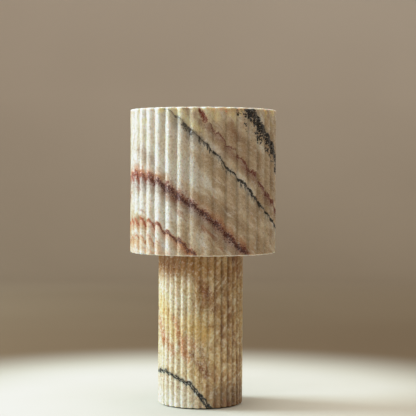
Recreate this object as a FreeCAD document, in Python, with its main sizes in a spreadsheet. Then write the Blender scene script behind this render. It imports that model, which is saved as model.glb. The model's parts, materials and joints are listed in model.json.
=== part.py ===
import FreeCAD, Part
import os
import math
import Sketcher
from FreeCAD import Vector, Placement, Rotation

# Column table lamp: a reeded stone column carries a reeded stone drum.
# One hollow threaded rod runs up the middle and clamps both stones together;
# the lampholder screws onto its top end, inside the open drum.
# Millimetres. Z is up, the table plane is z = 0, and the origin is the point
# where the column's axis meets the table. -Y is the front of the lamp.

os.makedirs("parts", exist_ok=True)
doc = FreeCAD.newDocument("column_table_lamp")

# ---------------------------------------------------------------- dimensions
DIMS = [
    # overall stack, heights above the table
    ("pad_thick", 1.5), ("column_top", 209.5), ("gasket_thick", 1.0),
    ("lamp_height", 408.0),
    # reeding shared by both stones
    ("reed_count", 36),
    # drum
    ("drum_crest_rad", 101.5), ("drum_reed_rad", 8.1), ("drum_valley_rad", 2.2),
    ("drum_inner_rad", 89.0), ("drum_floor", 12.0), ("drum_hole_rad", 8.5),
    ("drum_shift", 3.0), ("drum_turn", 3.0), ("drum_edge", 1.0),
    ("drum_lip", 1.5), ("drum_corner", 5.0),
    # column
    ("col_crest_rad", 58.9), ("col_reed_rad", 4.6), ("col_valley_rad", 1.1),
    ("col_turn", 5.7), ("col_edge", 0.8), ("col_bore_rad", 7.0),
    ("cavity_rad", 20.0), ("cavity_top", 50.0), ("recess_rad", 33.0),
    ("recess_deep", 3.2),
    # pad, cover and its fixings
    ("pad_rad", 54.5), ("cover_rad", 32.6), ("cover_thick", 3.0),
    ("fix_circle", 27.0), ("fix_count", 3), ("insert_rad", 3.0),
    ("insert_long", 10.0), ("insert_bore", 2.1), ("screw_rad", 1.95),
    ("screw_long", 9.5), ("sink_rad", 3.9), ("sink_deep", 2.0),
    # rod and clamp hardware
    ("rod_rad", 5.0), ("rod_bore", 3.9), ("rod_low", 38.0), ("rod_high", 239.0),
    ("low_washer_rad", 18.0), ("low_washer_thick", 2.5),
    ("nut_flats", 14.0), ("nut_thick", 5.5), ("nut_bore", 5.04),
    ("washer_bore", 5.3), ("lock_rad", 8.6), ("lock_thick", 1.6),
    ("soft_rad", 24.0), ("soft_thick", 1.0), ("top_washer_rad", 30.0),
    ("top_washer_thick", 3.0), ("top_nut_thick", 6.0), ("gasket_rad", 50.0),
    # cord inlet at the rear
    ("inlet_high", 16.0), ("inlet_rad", 5.0), ("spot_rad", 8.5),
    ("spot_face", 54.5), ("bush_long", 16.0), ("bush_flange_rad", 7.2),
    ("bush_flange_thick", 2.4), ("bush_bore", 3.25), ("bush_gap", 0.05),
    # terminal block on the cover
    ("block_wide", 18.0), ("block_deep", 14.0), ("block_tall", 13.0),
    ("pole_pitch", 9.0), ("entry_rad", 1.8), ("entry_high", 11.0),
    ("well_rad", 2.3), ("well_pitch", 8.0), ("pinch_rad", 1.9),
    ("fixing_rad", 1.5), ("fixing_head", 2.8),
    # leads
    ("lead_rad", 1.2),
    # lampholder
    ("holder_low", 233.0), ("cap_neck_rad", 8.0), ("cap_rad", 18.0),
    ("cap_wall", 0.95), ("cap_tall", 25.0), ("shell_low", 246.5),
    ("shell_high", 300.0), ("shell_rad", 17.0), ("shell_wall", 0.6),
    ("liner_rad", 16.3), ("liner_wall", 0.8), ("liner_high", 297.0),
    ("core_low", 254.0), ("core_high", 272.0), ("core_rad", 15.45),
    ("core_flat", 9.5), ("thread_low", 272.0), ("thread_high", 298.0),
    ("thread_rad", 13.95), ("thread_bore", 13.35),
    # turn switch
    ("shaft_high", 263.0), ("shaft_rad", 2.5), ("shaft_end", 33.0),
    ("knob_rad", 7.0), ("knob_near", 19.6), ("knob_long", 14.0),
    ("knob_grooves", 12), ("knob_groove_rad", 1.1),
    # bulb
    ("bulb_tip", 274.8), ("cap_start", 280.0), ("cap_end", 304.0),
    ("bulb_cap_rad", 13.0), ("collar_high", 335.0), ("collar_rad", 24.6),
    ("globe_rad", 30.0), ("globe_wall", 1.0), ("board_rad", 21.5),
    ("board_thick", 1.6), ("chip_count", 12), ("chip_circle", 15.0),
]
dims = doc.addObject("Spreadsheet::Sheet", "dims")
for row, (alias, value) in enumerate(DIMS, start=1):
    dims.set("A%d" % row, alias)
    dims.set("B%d" % row, str(value))
    dims.setAlias("B%d" % row, alias)
doc.recompute()


def val(alias):
    """A driving dimension, read back from the sheet."""
    return float(getattr(dims, alias))


# ------------------------------------------------------------------- helpers
def bind(obj, prop, expression):
    """Ties a property to the sheet; a bare alias may be given."""
    obj.setExpression(prop, expression)


def place(obj, x=None, y=None, z=None):
    for key, expression in (("x", x), ("y", y), ("z", z)):
        if expression is not None:
            bind(obj, "Placement.Base." + key, expression)


def cylinder(name, rad, tall, x=None, y=None, z=None, turn=None):
    obj = doc.addObject("Part::Cylinder", name)
    if turn is not None:
        obj.Placement = Placement(Vector(0, 0, 0), turn)
    bind(obj, "Radius", rad)
    bind(obj, "Height", tall)
    place(obj, x, y, z)
    return obj


def cone(name, rad1, rad2, tall, x=None, y=None, z=None):
    obj = doc.addObject("Part::Cone", name)
    bind(obj, "Radius1", rad1)
    bind(obj, "Radius2", rad2)
    bind(obj, "Height", tall)
    place(obj, x, y, z)
    return obj


def box(name, wide, deep, tall, x=None, y=None, z=None):
    obj = doc.addObject("Part::Box", name)
    bind(obj, "Length", wide)
    bind(obj, "Width", deep)
    bind(obj, "Height", tall)
    place(obj, x, y, z)
    return obj


def hexagon(name, flats, tall, z=None):
    obj = doc.addObject("Part::Prism", name)
    obj.Polygon = 6
    bind(obj, "Circumradius", "(%s) / 2 / cos(30 deg)" % flats)
    bind(obj, "Height", tall)
    place(obj, None, None, z)
    return obj


def cut(name, base, tool, label=None):
    obj = doc.addObject("Part::Cut", name)
    obj.Base = base
    obj.Tool = tool
    if label:
        obj.Label = label
    return obj


def fuse(name, members, label=None):
    obj = doc.addObject("Part::MultiFuse", name)
    obj.Shapes = members
    if label:
        obj.Label = label
    return obj


def group(name, members, label):
    """Several separate solids of one kind kept in one node."""
    obj = doc.addObject("Part::Compound", name)
    obj.Links = members
    obj.Label = label
    return obj


def origin_plane(body, role):
    for feature in body.Origin.OriginFeatures:
        if feature.Role == role:
            return feature
    raise RuntimeError("no " + role)


def new_body(name, label):
    body = doc.addObject("PartDesign::Body", name)
    body.Label = label
    return body


def new_sketch(body, name, role):
    sketch = body.newObject("Sketcher::SketchObject", name)
    sketch.AttachmentSupport = [(origin_plane(body, role), "")]
    sketch.MapMode = "FlatFace"
    return sketch


def polygon(sketch, points):
    """Closed outline; every corner's two distances are tied to the sheet.

    A point is (across, up): numbers 0 lie on the axes, strings are
    expressions of the sheet's cells.
    """
    start = []
    for across, up in points:
        a = 0.0 if across == 0 else float(evaluate(across))
        u = 0.0 if up == 0 else float(evaluate(up))
        start.append((a, u))
    n = len(points)
    ids = []
    for i in range(n):
        p, q = start[i], start[(i + 1) % n]
        ids.append(sketch.addGeometry(
            Part.LineSegment(Vector(p[0], p[1], 0), Vector(q[0], q[1], 0)), False))
    for i in range(n):
        sketch.addConstraint(Sketcher.Constraint(
            "Coincident", ids[i], 2, ids[(i + 1) % n], 1))
    for i, (across, up) in enumerate(points):
        if across == 0:
            sketch.addConstraint(Sketcher.Constraint("PointOnObject", ids[i], 1, -2))
        else:
            k = sketch.addConstraint(Sketcher.Constraint(
                "DistanceX", -1, 1, ids[i], 1, start[i][0]))
            sketch.setExpression("Constraints[%d]" % k, across)
        if up == 0:
            sketch.addConstraint(Sketcher.Constraint("PointOnObject", ids[i], 1, -1))
        else:
            k = sketch.addConstraint(Sketcher.Constraint(
                "DistanceY", -1, 1, ids[i], 1, start[i][1]))
            sketch.setExpression("Constraints[%d]" % k, up)
    return ids


def evaluate(expression):
    """The present value of an expression of the sheet's cells."""
    result = dims.evalExpression(expression.replace("dims.", ""))
    return getattr(result, "Value", result)


def turned(name, label, points, z=None):
    """A turned piece: an outline in the XZ plane, revolved about Z."""
    body = new_body(name, label)
    sketch = new_sketch(body, name + "_outline", "XZ_Plane")
    polygon(sketch, points)
    rev = body.newObject("PartDesign::Revolution", name + "_turning")
    rev.Profile = sketch
    rev.ReferenceAxis = (sketch, ["V_Axis"])
    rev.Angle = 360.0
    place(body, None, None, z)
    return body


def circle_pad(body, name, rad, low, high):
    """A disc between two heights of the body."""
    sketch = new_sketch(body, name + "_outline", "XY_Plane")
    g = sketch.addGeometry(Part.Circle(Vector(0, 0, 0), Vector(0, 0, 1),
                                       float(evaluate(rad))), False)
    sketch.addConstraint(Sketcher.Constraint("Coincident", g, 3, -1, 1))
    k = sketch.addConstraint(Sketcher.Constraint("Radius", g, float(evaluate(rad))))
    sketch.setExpression("Constraints[%d]" % k, rad)
    sketch.setExpression("AttachmentOffset.Base.z", low)
    pad = body.newObject("PartDesign::Pad", name)
    pad.Profile = sketch
    pad.setExpression("Length", "(%s) - (%s)" % (high, low))
    return pad


def circle_pocket(body, name, rad, low, high, x=None, y=None):
    """A round hole between two heights of the body, cut upward."""
    sketch = new_sketch(body, name + "_outline", "XY_Plane")
    cx = 0.0 if x is None else float(evaluate(x))
    cy = 0.0 if y is None else float(evaluate(y))
    g = sketch.addGeometry(Part.Circle(Vector(cx, cy, 0), Vector(0, 0, 1),
                                       float(evaluate(rad))), False)
    if x is None and y is None:
        sketch.addConstraint(Sketcher.Constraint("Coincident", g, 3, -1, 1))
    else:
        if x is None:
            sketch.addConstraint(Sketcher.Constraint("PointOnObject", g, 3, -2))
        else:
            k = sketch.addConstraint(Sketcher.Constraint("DistanceX", -1, 1, g, 3, cx))
            sketch.setExpression("Constraints[%d]" % k, x)
        if y is None:
            sketch.addConstraint(Sketcher.Constraint("PointOnObject", g, 3, -1))
        else:
            k = sketch.addConstraint(Sketcher.Constraint("DistanceY", -1, 1, g, 3, cy))
            sketch.setExpression("Constraints[%d]" % k, y)
    k = sketch.addConstraint(Sketcher.Constraint("Radius", g, float(evaluate(rad))))
    sketch.setExpression("Constraints[%d]" % k, rad)
    sketch.setExpression("AttachmentOffset.Base.z", low)
    pocket = body.newObject("PartDesign::Pocket", name)
    pocket.Profile = sketch
    pocket.Reversed = True
    pocket.setExpression("Length", "(%s) - (%s)" % (high, low))
    return pocket


def reed_ring(body, name, crest, reed, valley, inner, low, high):
    """One reed with half a valley at each side, patterned round the axis.

    The reed is an arc of radius `reed` whose crest lies at radius `crest`;
    the valley beside it is an arc of radius `valley`, tangent to the reed
    and to its mirror image in the radial line half a pitch away.
    """
    count = float(evaluate("dims.reed_count"))
    half = math.pi / count
    R, rc, rf, ri = [float(evaluate(e)) for e in (crest, reed, valley, inner)]
    c1 = R - rc
    c2 = c1 * math.cos(half) + math.sqrt((rc + rf) ** 2 - (c1 * math.sin(half)) ** 2)
    cc = Vector(c1, 0, 0)
    vp = Vector(c2 * math.cos(half), c2 * math.sin(half), 0)
    vm = Vector(vp.x, -vp.y, 0)
    tp = cc + (vp - cc).normalize() * rc
    tm = Vector(tp.x, -tp.y, 0)
    bp = Vector((c2 - rf) * math.cos(half), (c2 - rf) * math.sin(half), 0)
    bm = Vector(bp.x, -bp.y, 0)
    ip = Vector(ri * math.cos(half), ri * math.sin(half), 0)
    im = Vector(ip.x, -ip.y, 0)

    def arc(centre, radius, a, b):
        """Counter-clockwise arc from point a to point b."""
        circle = Part.Circle(centre, Vector(0, 0, 1), radius)
        a0 = math.atan2(a.y - centre.y, a.x - centre.x)
        a1 = math.atan2(b.y - centre.y, b.x - centre.x)
        if a1 < a0:
            a1 += 2 * math.pi
        return Part.ArcOfCircle(circle, a0, a1)

    s = new_sketch(body, name + "_outline", "XY_Plane")
    crest_id = s.addGeometry(arc(cc, rc, tm, tp), False)
    up_id = s.addGeometry(arc(vp, rf, bp, tp), False)
    low_id = s.addGeometry(arc(vm, rf, tm, bm), False)
    side_p = s.addGeometry(Part.LineSegment(bp, ip), False)
    side_m = s.addGeometry(Part.LineSegment(bm, im), False)
    in_id = s.addGeometry(arc(Vector(0, 0, 0), ri, im, ip), False)
    add = s.addConstraint
    C = Sketcher.Constraint
    # joints of the outline, tangent where reed and valley meet
    add(C("Tangent", crest_id, 2, up_id, 2))
    add(C("Tangent", crest_id, 1, low_id, 1))
    add(C("Coincident", up_id, 1, side_p, 1))
    add(C("Coincident", low_id, 2, side_m, 1))
    add(C("Coincident", side_p, 2, in_id, 2))
    add(C("Coincident", side_m, 2, in_id, 1))
    add(C("Coincident", in_id, 3, -1, 1))
    # the reed's centre on the axis of symmetry, the valleys' on the sides
    add(C("PointOnObject", crest_id, 3, -1))
    add(C("PointOnObject", -1, 1, side_p))
    add(C("PointOnObject", -1, 1, side_m))
    add(C("PointOnObject", up_id, 3, side_p))
    add(C("PointOnObject", low_id, 3, side_m))
    add(C("Symmetric", in_id, 1, in_id, 2, -1))
    k = add(C("DistanceX", -1, 1, crest_id, 3, c1))
    s.setExpression("Constraints[%d]" % k, "(%s) - (%s)" % (crest, reed))
    k = add(C("Radius", crest_id, rc))
    s.setExpression("Constraints[%d]" % k, reed)
    k = add(C("Radius", up_id, rf))
    s.setExpression("Constraints[%d]" % k, valley)
    k = add(C("Radius", low_id, rf))
    s.setExpression("Constraints[%d]" % k, valley)
    k = add(C("Radius", in_id, ri))
    s.setExpression("Constraints[%d]" % k, inner)
    k = add(C("Angle", in_id, 2 * half))
    s.setExpression("Constraints[%d]" % k, "360 deg / dims.reed_count")
    s.setExpression("AttachmentOffset.Base.z", low)
    pad = body.newObject("PartDesign::Pad", name)
    pad.Profile = s
    pad.setExpression("Length", "(%s) - (%s)" % (high, low))
    doc.recompute()
    pattern = body.newObject("PartDesign::PolarPattern", name + "_round")
    pattern.Originals = [pad]
    pattern.Axis = (s, ["N_Axis"])
    pattern.Angle = 360.0
    pattern.setExpression("Occurrences", "dims.reed_count")
    body.Tip = pattern
    doc.recompute()
    return pattern


def edges_at(shape, z, low, high):
    """Names of the edges that lie in the plane z between two radii."""
    names = []
    for i, edge in enumerate(shape.Edges, start=1):
        box_ = edge.BoundBox
        if abs(box_.ZMin - z) > 1e-4 or abs(box_.ZMax - z) > 1e-4:
            continue
        p = edge.valueAt((edge.FirstParameter + edge.LastParameter) / 2)
        if low <= math.hypot(p.x, p.y) <= high:
            names.append("Edge%d" % i)
    return names


def dress(body, kind, name, base, names, size):
    """A fillet or chamfer on named edges of the body's last feature."""
    obj = body.newObject("PartDesign::" + kind, name)
    obj.Base = (base, names)
    bind(obj, "Radius" if kind == "Fillet" else "Size", size)
    body.Tip = obj
    doc.recompute()
    return obj


def face_to(body, turn_alias, z, x=None):
    """Stands a stone at its height, turned so that its reeds face right."""
    body.Placement = Placement(Vector(0, 0, 0), Rotation(Vector(0, 0, 1), 273))
    bind(body, "Placement.Rotation.Angle", "270 deg + %s * 1 deg" % turn_alias)
    place(body, x, None, z)


def rod_path(points):
    """Straight runs joined by tangent arcs, as large as the runs allow."""
    pts = [Vector(*p) for p in points]
    edges = []
    radii = []
    cursor = pts[0]
    length = 0.0
    for i in range(1, len(pts) - 1):
        a, b, c = pts[i - 1], pts[i], pts[i + 1]
        d1 = (b - a).normalize()
        d2 = (c - b).normalize()
        turn = d1.getAngle(d2)
        back = 0.45 * min((b - a).Length, (c - b).Length)
        radius = back / math.tan(turn / 2)
        radii.append(round(radius, 2))
        p1 = b - d1 * back
        p2 = b + d2 * back
        bis = (d2 - d1).normalize()
        centre = b + bis * (radius / math.cos(turn / 2))
        mid = centre - bis * radius
        edges.append(Part.LineSegment(cursor, p1).toShape())
        edges.append(Part.Arc(p1, mid, p2).toShape())
        length += (p1 - cursor).Length + radius * turn
        cursor = p2
    edges.append(Part.LineSegment(cursor, pts[-1]).toShape())
    length += (pts[-1] - cursor).Length
    return Part.Wire(edges), length, radii


def lead(name, label, points, rad):
    """A round insulated lead along a settled route."""
    wire, length, radii = rod_path(points)
    start = wire.Edges[0].valueAt(wire.Edges[0].FirstParameter)
    way = (Vector(*points[1]) - Vector(*points[0])).normalize()
    ring = Part.Wire([Part.makeCircle(rad, start, way)])
    shell = wire.makePipeShell([ring], True, False)
    want = math.pi * rad * rad * length
    print("%s: length %.1f, radii %s, volume %.1f of %.1f"
          % (label, length, radii, shell.Volume, want))
    if abs(shell.Volume - want) > 0.01 * want:
        raise RuntimeError(label + " is not a plain tube")
    obj = doc.addObject("Part::Feature", name)
    obj.Shape = shell
    obj.Placement = Placement()
    obj.Label = label
    return obj


NODES = []


def keep(obj):
    NODES.append(obj)
    return obj


LAY_FRONT = Rotation(Vector(1, 0, 0), 90)     # local +Z points to -Y
LAY_REAR = Rotation(Vector(1, 0, 0), -90)     # local +Z points to +Y
LAY_RIGHT = Rotation(Vector(0, 1, 0), 90)     # local +Z points to +X

DRUM_LOW = "dims.column_top + dims.gasket_thick"
DRUM_TALL = "dims.lamp_height - dims.column_top - dims.gasket_thick"
COL_TALL = "dims.column_top - dims.pad_thick"
FLOOR_TOP = "dims.column_top + dims.gasket_thick + dims.drum_floor"

# ------------------------------------------------------------------ the drum
# Bored from one block: reeded outside, plain inside, with a floor that the
# rod passes through. It sits a little off the column's axis, within the play
# of its clearance hole.
drum = keep(new_body("drum", "reeded_drum"))
step = reed_ring(drum, "drum_reed", "dims.drum_crest_rad", "dims.drum_reed_rad",
                 "dims.drum_valley_rad", "dims.drum_inner_rad", "0", DRUM_TALL)
step = circle_pad(drum, "drum_floor_disc", "dims.drum_inner_rad + 4", "0",
                  "dims.drum_floor")
step = circle_pocket(drum, "drum_hole", "dims.drum_hole_rad", "0", "dims.drum_floor")
doc.recompute()
drum_top = float(evaluate(DRUM_TALL))
wall_in = val("drum_inner_rad")
step = dress(drum, "Fillet", "drum_top_edge", step,
             edges_at(step.Shape, drum_top, wall_in + 3, 120), "dims.drum_edge")
step = dress(drum, "Chamfer", "drum_lip_edge", step,
             edges_at(step.Shape, drum_top, wall_in - 2, wall_in + 2), "dims.drum_lip")
step = dress(drum, "Fillet", "drum_low_edge", step,
             edges_at(step.Shape, 0, wall_in + 3, 120), "dims.drum_edge")
step = dress(drum, "Fillet", "drum_corner_edge", step,
             edges_at(step.Shape, val("drum_floor"), wall_in - 2, wall_in + 2),
             "dims.drum_corner")
face_to(drum, "dims.drum_turn", DRUM_LOW, "dims.drum_shift")

# ---------------------------------------------------------------- the column
column = keep(new_body("column", "reeded_column"))
step = reed_ring(column, "col_reed", "dims.col_crest_rad", "dims.col_reed_rad",
                 "dims.col_valley_rad", "dims.cavity_rad + 20", "0", COL_TALL)
step = circle_pad(column, "col_core", "dims.cavity_rad + 26", "0", COL_TALL)
step = circle_pocket(column, "col_bore", "dims.col_bore_rad", "0", COL_TALL)
step = circle_pocket(column, "col_cavity", "dims.cavity_rad", "0",
                     "dims.cavity_top - dims.pad_thick")
step = circle_pocket(column, "col_recess", "dims.recess_rad", "0", "dims.recess_deep")
# three blind holes for the threaded inserts, opening in the recess
step = circle_pocket(column, "col_insert_hole", "dims.insert_rad", "0",
                     "dims.recess_deep + dims.insert_long", x="dims.fix_circle")
doc.recompute()
holes = column.newObject("PartDesign::PolarPattern", "col_insert_holes")
holes.Originals = [step]
holes.Axis = (doc.getObject("col_insert_hole_outline"), ["N_Axis"])
holes.Angle = 360.0
holes.setExpression("Occurrences", "dims.fix_count")
column.Tip = holes
doc.recompute()
step = holes
col_top = float(evaluate(COL_TALL))
step = dress(column, "Fillet", "col_foot_edge", step,
             edges_at(step.Shape, 0, 50, 70), "dims.col_edge")
step = dress(column, "Fillet", "col_head_edge", step,
             edges_at(step.Shape, col_top, 50, 70), "dims.col_edge")
# The cord's way in at the rear: a round hole into the cavity, with a flat
# spot-face across the reeds for the bushing's flange.
# The stone is turned by col_turn from the front, so the rear lies that far
# from the stone's own axis; the sketch plane holds the radial direction.


def radial_pocket(body, name, rad, near, far, before):
    """A round pocket along the rear radius, from radius near to far."""
    sketch = new_sketch(body, name + "_outline", "YZ_Plane")
    up = float(evaluate("dims.inlet_high - dims.pad_thick"))
    g = sketch.addGeometry(Part.Circle(Vector(0, up, 0), Vector(0, 0, 1),
                                       float(evaluate(rad))), False)
    sketch.addConstraint(Sketcher.Constraint("PointOnObject", g, 3, -2))
    k = sketch.addConstraint(Sketcher.Constraint("DistanceY", -1, 1, g, 3, up))
    sketch.setExpression("Constraints[%d]" % k, "dims.inlet_high - dims.pad_thick")
    k = sketch.addConstraint(Sketcher.Constraint("Radius", g, float(evaluate(rad))))
    sketch.setExpression("Constraints[%d]" % k, rad)
    # the plane is turned about Z until its normal points to the lamp's rear
    sketch.AttachmentOffset = Placement(
        Vector(0, 0, 0), Rotation(Vector(0, 1, 0), 180 - val("col_turn")))
    sketch.setExpression("AttachmentOffset.Rotation.Angle",
                         "180 deg - dims.col_turn * 1 deg")
    sketch.setExpression("AttachmentOffset.Base.x",
                         "(%s) * sin(180 deg - dims.col_turn * 1 deg)" % near)
    sketch.setExpression("AttachmentOffset.Base.z",
                         "(%s) * cos(180 deg - dims.col_turn * 1 deg)" % near)
    pocket = body.newObject("PartDesign::Pocket", name)
    pocket.Profile = sketch
    pocket.Reversed = True
    pocket.setExpression("Length", "(%s) - (%s)" % (far, near))
    body.Tip = pocket
    doc.recompute()
    gone = before.Shape.Volume - pocket.Shape.Volume
    print(name, "removes", round(gone, 1))
    if gone < 10:
        raise RuntimeError(name + " cuts nothing")
    return pocket


step = radial_pocket(column, "inlet_hole", "dims.inlet_rad", "dims.cavity_rad - 4",
                     "dims.col_crest_rad + 4", step)
step = radial_pocket(column, "inlet_spot_face", "dims.spot_rad", "dims.spot_face",
                     "dims.col_crest_rad + 4", step)
face_to(column, "dims.col_turn", "dims.pad_thick")

# ------------------------------------------------- soft pieces between stones
pad_disc = keep(cylinder("pad_disc", "dims.pad_rad", "dims.pad_thick"))
pad_disc.Label = "base_pad"
gasket = keep(cut("gasket_ring", cylinder("gasket_disc", "dims.gasket_rad",
                                          "dims.gasket_thick", z="dims.column_top"),
                  cylinder("gasket_hole", "dims.col_bore_rad", "dims.gasket_thick + 2",
                           z="dims.column_top - 1"), "stone_gasket"))
soft = keep(cut("soft_ring", cylinder("soft_disc", "dims.soft_rad", "dims.soft_thick",
                                      z=FLOOR_TOP),
                cylinder("soft_hole", "dims.washer_bore", "dims.soft_thick + 2",
                         z=FLOOR_TOP + " - 1"), "clamp_gasket"))

# -------------------------------------------------- cover over the base cavity
cover = keep(new_body("cover", "base_cover"))
circle_pad(cover, "cover_disc", "dims.cover_rad", "0", "dims.cover_thick")
c_hole = circle_pocket(cover, "cover_hole", "dims.insert_bore + 0.1", "0",
                       "dims.cover_thick", x="dims.fix_circle")
doc.recompute()
c_holes = cover.newObject("PartDesign::PolarPattern", "cover_holes")
c_holes.Originals = [c_hole]
c_holes.Axis = (doc.getObject("cover_hole_outline"), ["N_Axis"])
c_holes.Angle = 360.0
c_holes.setExpression("Occurrences", "dims.fix_count")
cover.Tip = c_holes
doc.recompute()
sink = new_sketch(cover, "cover_sink_outline", "XZ_Plane")
SINK = [("dims.fix_circle - dims.sink_rad - 0.15", 0),
        ("dims.fix_circle", 0),
        ("dims.fix_circle", "dims.sink_deep + 0.1"),
        ("dims.fix_circle - dims.insert_bore - 0.1", "dims.sink_deep + 0.1")]
polygon(sink, SINK)
grv = cover.newObject("PartDesign::Groove", "cover_sink")
grv.Profile = sink
grv.ReferenceAxis = (sink, ["Edge2"])
grv.Angle = 360.0
cover.Tip = grv
doc.recompute()
if not grv.Shape.Volume < c_holes.Shape.Volume - 5:
    raise RuntimeError("countersink cuts nothing")
sinks = cover.newObject("PartDesign::PolarPattern", "cover_sinks")
sinks.Originals = [grv]
sinks.Axis = (doc.getObject("cover_hole_outline"), ["N_Axis"])
sinks.Angle = 360.0
sinks.setExpression("Occurrences", "dims.fix_count")
cover.Tip = sinks
c_fix = circle_pocket(cover, "cover_block_hole", "dims.fixing_rad + 0.04", "0",
                      "dims.cover_thick")
cover.Tip = c_fix
doc.recompute()
cover.Placement = Placement(Vector(0, 0, 0), Rotation(Vector(0, 0, 1), 273))
bind(cover, "Placement.Rotation.Angle", "270 deg + dims.col_turn * 1 deg")
place(cover, z="dims.pad_thick")

inserts = []
screws = []
for i in range(int(val("fix_count"))):
    ang = "(270 deg + dims.col_turn * 1 deg + %d * 360 deg / dims.fix_count)" % i
    x = "dims.fix_circle * cos(%s)" % ang
    y = "dims.fix_circle * sin(%s)" % ang
    seat = "dims.pad_thick + dims.recess_deep"
    inserts.append(cut("insert_%d" % i,
                       cylinder("insert_body_%d" % i, "dims.insert_rad",
                                "dims.insert_long", x, y, seat),
                       cylinder("insert_bore_%d" % i, "dims.insert_bore",
                                "dims.insert_long + 2", x, y, seat + " - 1")))
    head = cone("screw_head_%d" % i, "dims.sink_rad", "dims.screw_rad",
                "dims.sink_deep", x, y, "dims.pad_thick + 0.1")
    shank = cylinder("screw_shank_%d" % i, "dims.screw_rad", "dims.screw_long", x, y,
                     "dims.pad_thick + dims.sink_deep + 0.05")
    key = doc.addObject("Part::Prism", "screw_key_%d" % i)
    key.Polygon = 6
    bind(key, "Circumradius", "1.45")
    bind(key, "Height", "1.4")
    place(key, x, y, "dims.pad_thick")
    screws.append(cut("screw_%d" % i, fuse("screw_body_%d" % i, [head, shank]), key))
keep(group("insert_set", inserts, "cover_inserts"))
keep(group("screw_set", screws, "cover_screws"))

# ------------------------------------------------------ rod and its fastenings
rod = keep(cut("rod_tube", cylinder("rod_outside", "dims.rod_rad",
                                    "dims.rod_high - dims.rod_low", z="dims.rod_low"),
               cylinder("rod_inside", "dims.rod_bore",
                        "dims.rod_high - dims.rod_low + 2", z="dims.rod_low - 1"),
               "threaded_rod"))
LOW_WASHER = "dims.cavity_top - dims.low_washer_thick"
low_washer = keep(cut("low_washer_ring",
                      cylinder("low_washer_disc", "dims.low_washer_rad",
                               "dims.low_washer_thick", z=LOW_WASHER),
                      cylinder("low_washer_hole", "dims.washer_bore",
                               "dims.low_washer_thick + 2", z=LOW_WASHER + " - 1"),
                      "base_clamp_washer"))
LOCK = LOW_WASHER + " - dims.lock_thick"
lock = keep(cut("lock_ring", cylinder("lock_disc", "dims.lock_rad", "dims.lock_thick",
                                      z=LOCK),
                fuse("lock_void", [
                    cylinder("lock_hole", "dims.washer_bore", "dims.lock_thick + 2",
                             z=LOCK + " - 1"),
                    box("lock_split", "dims.lock_rad + 2", "1.2", "dims.lock_thick + 2",
                        "0", "-0.6", LOCK + " - 1")]),
                "lock_washer"))
NUT = LOCK + " - dims.nut_thick"


def nut(name, label, low, thick):
    """Hexagon nut with its corners turned off at both faces."""
    flats = hexagon(name + "_hex", "dims.nut_flats", thick, low)
    turned_off = doc.addObject("Part::Common", name + "_turned")
    body_ = fuse(name + "_bevels", [
        cone(name + "_bevel_low", "dims.nut_flats / 2", "dims.nut_flats / 2 + (%s) / 2 * 1.7" % thick,
             "(%s) / 2" % thick, z=low),
        cone(name + "_bevel_high", "dims.nut_flats / 2 + (%s) / 2 * 1.7" % thick, "dims.nut_flats / 2",
             "(%s) / 2" % thick, z=low + " + (%s) / 2" % thick)])
    turned_off.Base = flats
    turned_off.Tool = body_
    return cut(name, turned_off,
               cylinder(name + "_hole", "dims.nut_bore", "(%s) + 2" % thick,
                        z=low + " - 1"), label)


keep(nut("low_nut", "base_clamp_nut", NUT, "dims.nut_thick"))
TOP_WASHER = FLOOR_TOP + " + dims.soft_thick"
top_washer = keep(cut("top_washer_ring",
                      cylinder("top_washer_disc", "dims.top_washer_rad",
                               "dims.top_washer_thick", z=TOP_WASHER),
                      cylinder("top_washer_hole", "dims.washer_bore",
                               "dims.top_washer_thick + 2", z=TOP_WASHER + " - 1"),
                      "drum_clamp_washer"))
keep(nut("top_nut", "drum_clamp_nut", TOP_WASHER + " + dims.top_washer_thick",
         "dims.top_nut_thick"))

# ----------------------------------------------------------- cord inlet bushing
bush = keep(cut("bush", fuse("bush_outside", [
    cylinder("bush_barrel", "dims.inlet_rad - dims.bush_gap", "dims.bush_long + 0.5",
             y="dims.spot_face - dims.bush_long", z="dims.inlet_high", turn=LAY_REAR),
    cylinder("bush_flange", "dims.bush_flange_rad", "dims.bush_flange_thick",
             y="dims.spot_face", z="dims.inlet_high", turn=LAY_REAR)]),
    cylinder("bush_bore_tool", "dims.bush_bore", "dims.bush_long + 8",
             y="dims.spot_face - dims.bush_long - 2", z="dims.inlet_high",
             turn=LAY_REAR), "cord_bushing"))

# --------------------------------------------------------------- terminal block
FLOOR = "dims.pad_thick + dims.cover_thick"
block = box("block_body", "dims.block_wide", "dims.block_deep", "dims.block_tall",
            "-dims.block_wide / 2", "-dims.block_deep / 2", FLOOR)
voids = []
pinches = []
for i, sx in enumerate((-1, 1)):
    xp = "%d * dims.pole_pitch / 2" % sx
    voids.append(cylinder("entry_%d" % i, "dims.entry_rad", "dims.block_deep + 4",
                          xp, "dims.block_deep / 2 + 2", "dims.entry_high",
                          turn=LAY_FRONT))
    for j, sy in enumerate((-1, 1)):
        yp = "%d * dims.well_pitch / 2" % sy
        tag = "%d%d" % (i, j)
        voids.append(cylinder("well_" + tag, "dims.well_rad",
                              FLOOR + " + dims.block_tall + 1 - dims.entry_high",
                              xp, yp, "dims.entry_high"))
        low = "dims.entry_high + dims.lead_rad + 0.1"
        pin = cylinder("pinch_body_" + tag, "dims.pinch_rad",
                       FLOOR + " + dims.block_tall - 1 - (" + low + ")", xp, yp, low)
        slot = box("pinch_slot_" + tag, "4.4", "0.7", "0.9", xp + " - 2.2",
                   yp + " - 0.35", FLOOR + " + dims.block_tall - 1.8")
        pinches.append(cut("pinch_" + tag, pin, slot))
voids.append(cylinder("block_fix_hole", "dims.fixing_rad + 0.1", "dims.block_tall + 2",
                      z=FLOOR + " - 1"))
voids.append(cylinder("block_fix_well", "dims.fixing_head + 0.2", "6",
                      z=FLOOR + " + dims.block_tall - 3.2"))
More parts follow.
